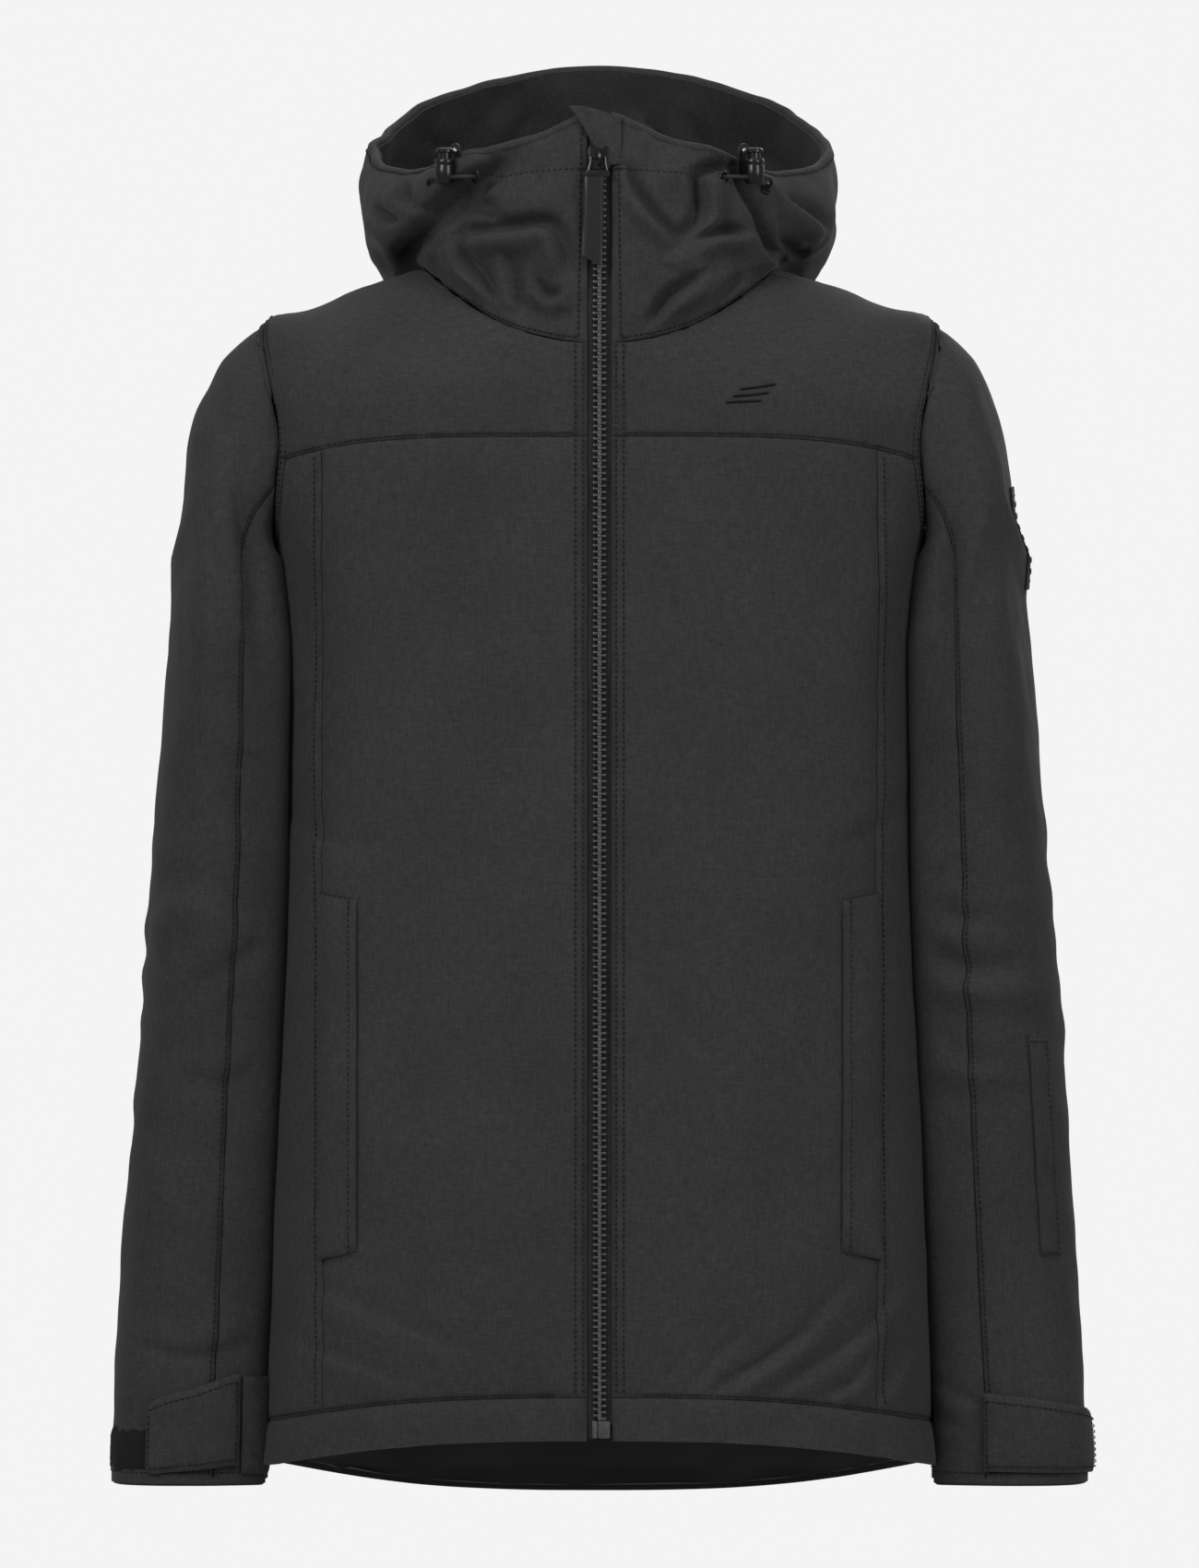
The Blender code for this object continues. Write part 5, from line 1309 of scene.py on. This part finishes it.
def make_hanger_loop():
    """Webbing strap inside the neck, bowed away from the lining."""
    across = np.linspace(-0.030, 0.030, 49)
    bow = 0.0018 - 0.0072 * np.cos(np.clip(across / 0.030, -1, 1) * math.pi / 2) ** 1.4
    heights = np.linspace(-0.0045, 0.0045, 10)
    grids = []
    for shift in (0.0, -0.0015):
        rib = 0.00012 * np.cos(heights * 2 * math.pi / 0.0015) * (1 if shift else -1)
        grids.append(np.array([[(x, y + shift - r, z) for z, r in zip(heights, rib)] for x, y in zip(across, bow)]))
    add("hanger_loop_webbing", slab_mesh("hanger_loop", grids[0], grids[1], False), "binding", "jacket",
        ("hanger_loop",))


def make_badge():
    """A generic raised badge that lies on the left upper sleeve: a plain frame round a ribbed field."""
    low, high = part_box("sleeve_badge")
    y_mid, z_mid = (low[1] + high[1]) / 2, (low[2] + high[2]) / 2
    scan = np.linspace(4, 2, 201)
    rings = np.interp(z_mid + 0.029 - 0.058 * shares(90, 0.006), sleeve(scan, np.zeros(201))[:, 2], scan)
    half = y_mid - sleeve(np.array([3.0]), np.array([90.0]))[0, 1]
    offset = 0.044 * (shares(44, 0.01) - 0.5)
    angle = np.degrees(np.arcsin(np.sign(offset) * (np.abs(offset) / half) ** (SLEEVE_SQUARE / 2)))

    def ribbed(points):
        y, z = points[..., 1] - y_mid, points[..., 2] - z_mid
        field = np.clip((1 - np.maximum(np.abs(y) / 0.018, np.abs(z) / 0.0245)) * 20 + 0.5, 0, 1)
        bars = 0.5 + 0.5 * np.tanh(4 * np.cos(2 * math.pi * z / 0.0064))
        return sleeve_relief(points) + 0.0007 * field * bars

    panel("sleeve_badge_moulding", sleeve, *lerp_grid(rings, lambda r: angle), shoulder_blend("left", 1),
          ("sleeve_badge",), lift=0.0020, thick=0.0020, mat="badge_rubber", seams=(0, 0, 0, 0), relief=ribbed)


def make_chest_mark():
    """A generic embroidered mark: three short parallel bars of satin stitch."""
    runs = []
    for z, x_low, x_high in ((-0.066, 0.078, 0.098), (-0.070, 0.074, 0.094), (-0.074, 0.070, 0.090)):
        ring = ring_at(z)
        for _ in range(8):
            angle = float(torso_angle(ring, (x_low + x_high) / 2))
            ring += (z - float(torso(ring, angle)[2])) * 12
        xs = np.linspace(x_low, x_high, 30)
        runs.append(run_on(torso, np.full(30, ring), torso_angle(ring, xs), 1, 0.0008))
    mesh = stitch_mesh(runs, length=0.0005, width=0.0007, pitch=0.0006)
    add("chest_mark_embroidery", mesh, "mark", "jacket")


# ---------------------------------------------------------------- stage, light and camera

PICTURE_HEIGHT = 0.884            # metres that the picture shows from top to bottom
LENS, SENSOR = 300.0, 36.0
AIM = (0.0, -0.060, -0.286)


STAGE_TONE = (0.905, 0.905, 0.905)


def make_stage():
    """A pale floor and a dome of the same tone round it, far enough out for a camera on any side."""
    mat = bpy.data.materials.new("studio_white")
    mat.use_nodes = True
    nodes, links = mat.node_tree.nodes, mat.node_tree.links
    glow = nodes.new("ShaderNodeEmission")
    glow.inputs["Color"].default_value = (*STAGE_TONE, 1.0)
    links.new(glow.outputs["Emission"], nodes["Material Output"].inputs["Surface"])
    floor_z, reach, sides = float(CAD_BOX[0][2]) - 0.045, 30.0, 48
    rise = np.linspace(0, math.pi / 2, 13)
    profiles = {"studio_floor": [(reach, floor_z)],
                "studio_dome": [(reach * math.cos(a) + 0.01, floor_z + reach * math.sin(a)) for a in rise]}
    for name, profile in profiles.items():
        turn = np.linspace(0, 2 * math.pi, sides, endpoint=False)
        verts = [(r * math.cos(a), r * math.sin(a), z) for r, z in profile for a in turn]
        faces = [(k * sides + i, k * sides + (i + 1) % sides, (k + 1) * sides + (i + 1) % sides, (k + 1) * sides + i)
                 for k in range(len(profile) - 1) for i in range(sides)]
        faces = faces or [list(range(sides))]
        mesh = bpy.data.meshes.new(name)
        mesh.from_pydata(verts, [], faces)
        mesh.materials.append(mat)
        stage = bpy.data.objects.new(name, mesh)
        bpy.context.scene.collection.objects.link(stage)
        stage.visible_diffuse = False
        stage.visible_glossy = False
        stage.visible_shadow = name == "studio_floor"


def light(name, place, size, power_w, aim=(0, -0.06, -0.25)):
    data = bpy.data.lights.new(name, "AREA")
    data.shape = "RECTANGLE"
    data.size, data.size_y = size
    data.energy = power_w
    obj = bpy.data.objects.new(name, data)
    bpy.context.scene.collection.objects.link(obj)
    obj.location = place
    obj.rotation_euler = (Vector(aim) - Vector(place)).to_track_quat("-Z", "Y").to_euler()


def make_lights():
    world = bpy.data.worlds.new("soft_room")
    bpy.context.scene.world = world
    world.use_nodes = True
    world.node_tree.nodes["Background"].inputs["Color"].default_value = (1.0, 1.0, 1.0, 1.0)
    world.node_tree.nodes["Background"].inputs["Strength"].default_value = 0.25
    light("key", (-1.9, -2.6, 1.5), (1.4, 1.8), 46)
    light("fill", (2.1, -2.4, 0.9), (1.4, 1.8), 27)
    light("top", (0.0, -0.6, 2.4), (2.0, 1.4), 9)
    light("back", (0.6, 3.0, 1.1), (2.0, 1.8), 22)


def make_camera():
    data = bpy.data.cameras.new("camera")
    data.lens, data.sensor_width = LENS, SENSOR
    camera = bpy.data.objects.new("camera", data)
    bpy.context.scene.collection.objects.link(camera)
    distance = PICTURE_HEIGHT * LENS / SENSOR
    camera.location = (AIM[0], AIM[1] - distance, AIM[2])
    camera.rotation_euler = (math.radians(90), 0.0, 0.0)
    data.clip_end = 100.0
    bpy.context.scene.camera = camera
    bpy.context.scene.view_settings.view_transform = "Standard"


make_camera()
make_torso()
make_torso_stitching()
make_pockets()
make_linings()
for which in (LEFT, RIGHT):
    make_sleeve(*which)
    make_cuff(*which)
    make_rolls(*which)
make_sleeve_pocket()
make_hood()
make_zip()
make_zip_ends()
make_slider()
make_chin_guard()
make_locks()
make_hanger_loop()
make_badge()
make_chest_mark()
for unseen in ("hand_pocket_bag_left", "hand_pocket_bag_right", "sleeve_pocket_bag"):
    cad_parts[unseen].data.materials.clear()
    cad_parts[unseen].data.materials.append(M["lining_fabric"])
make_stage()
make_lights()
bpy.context.view_layer.update()
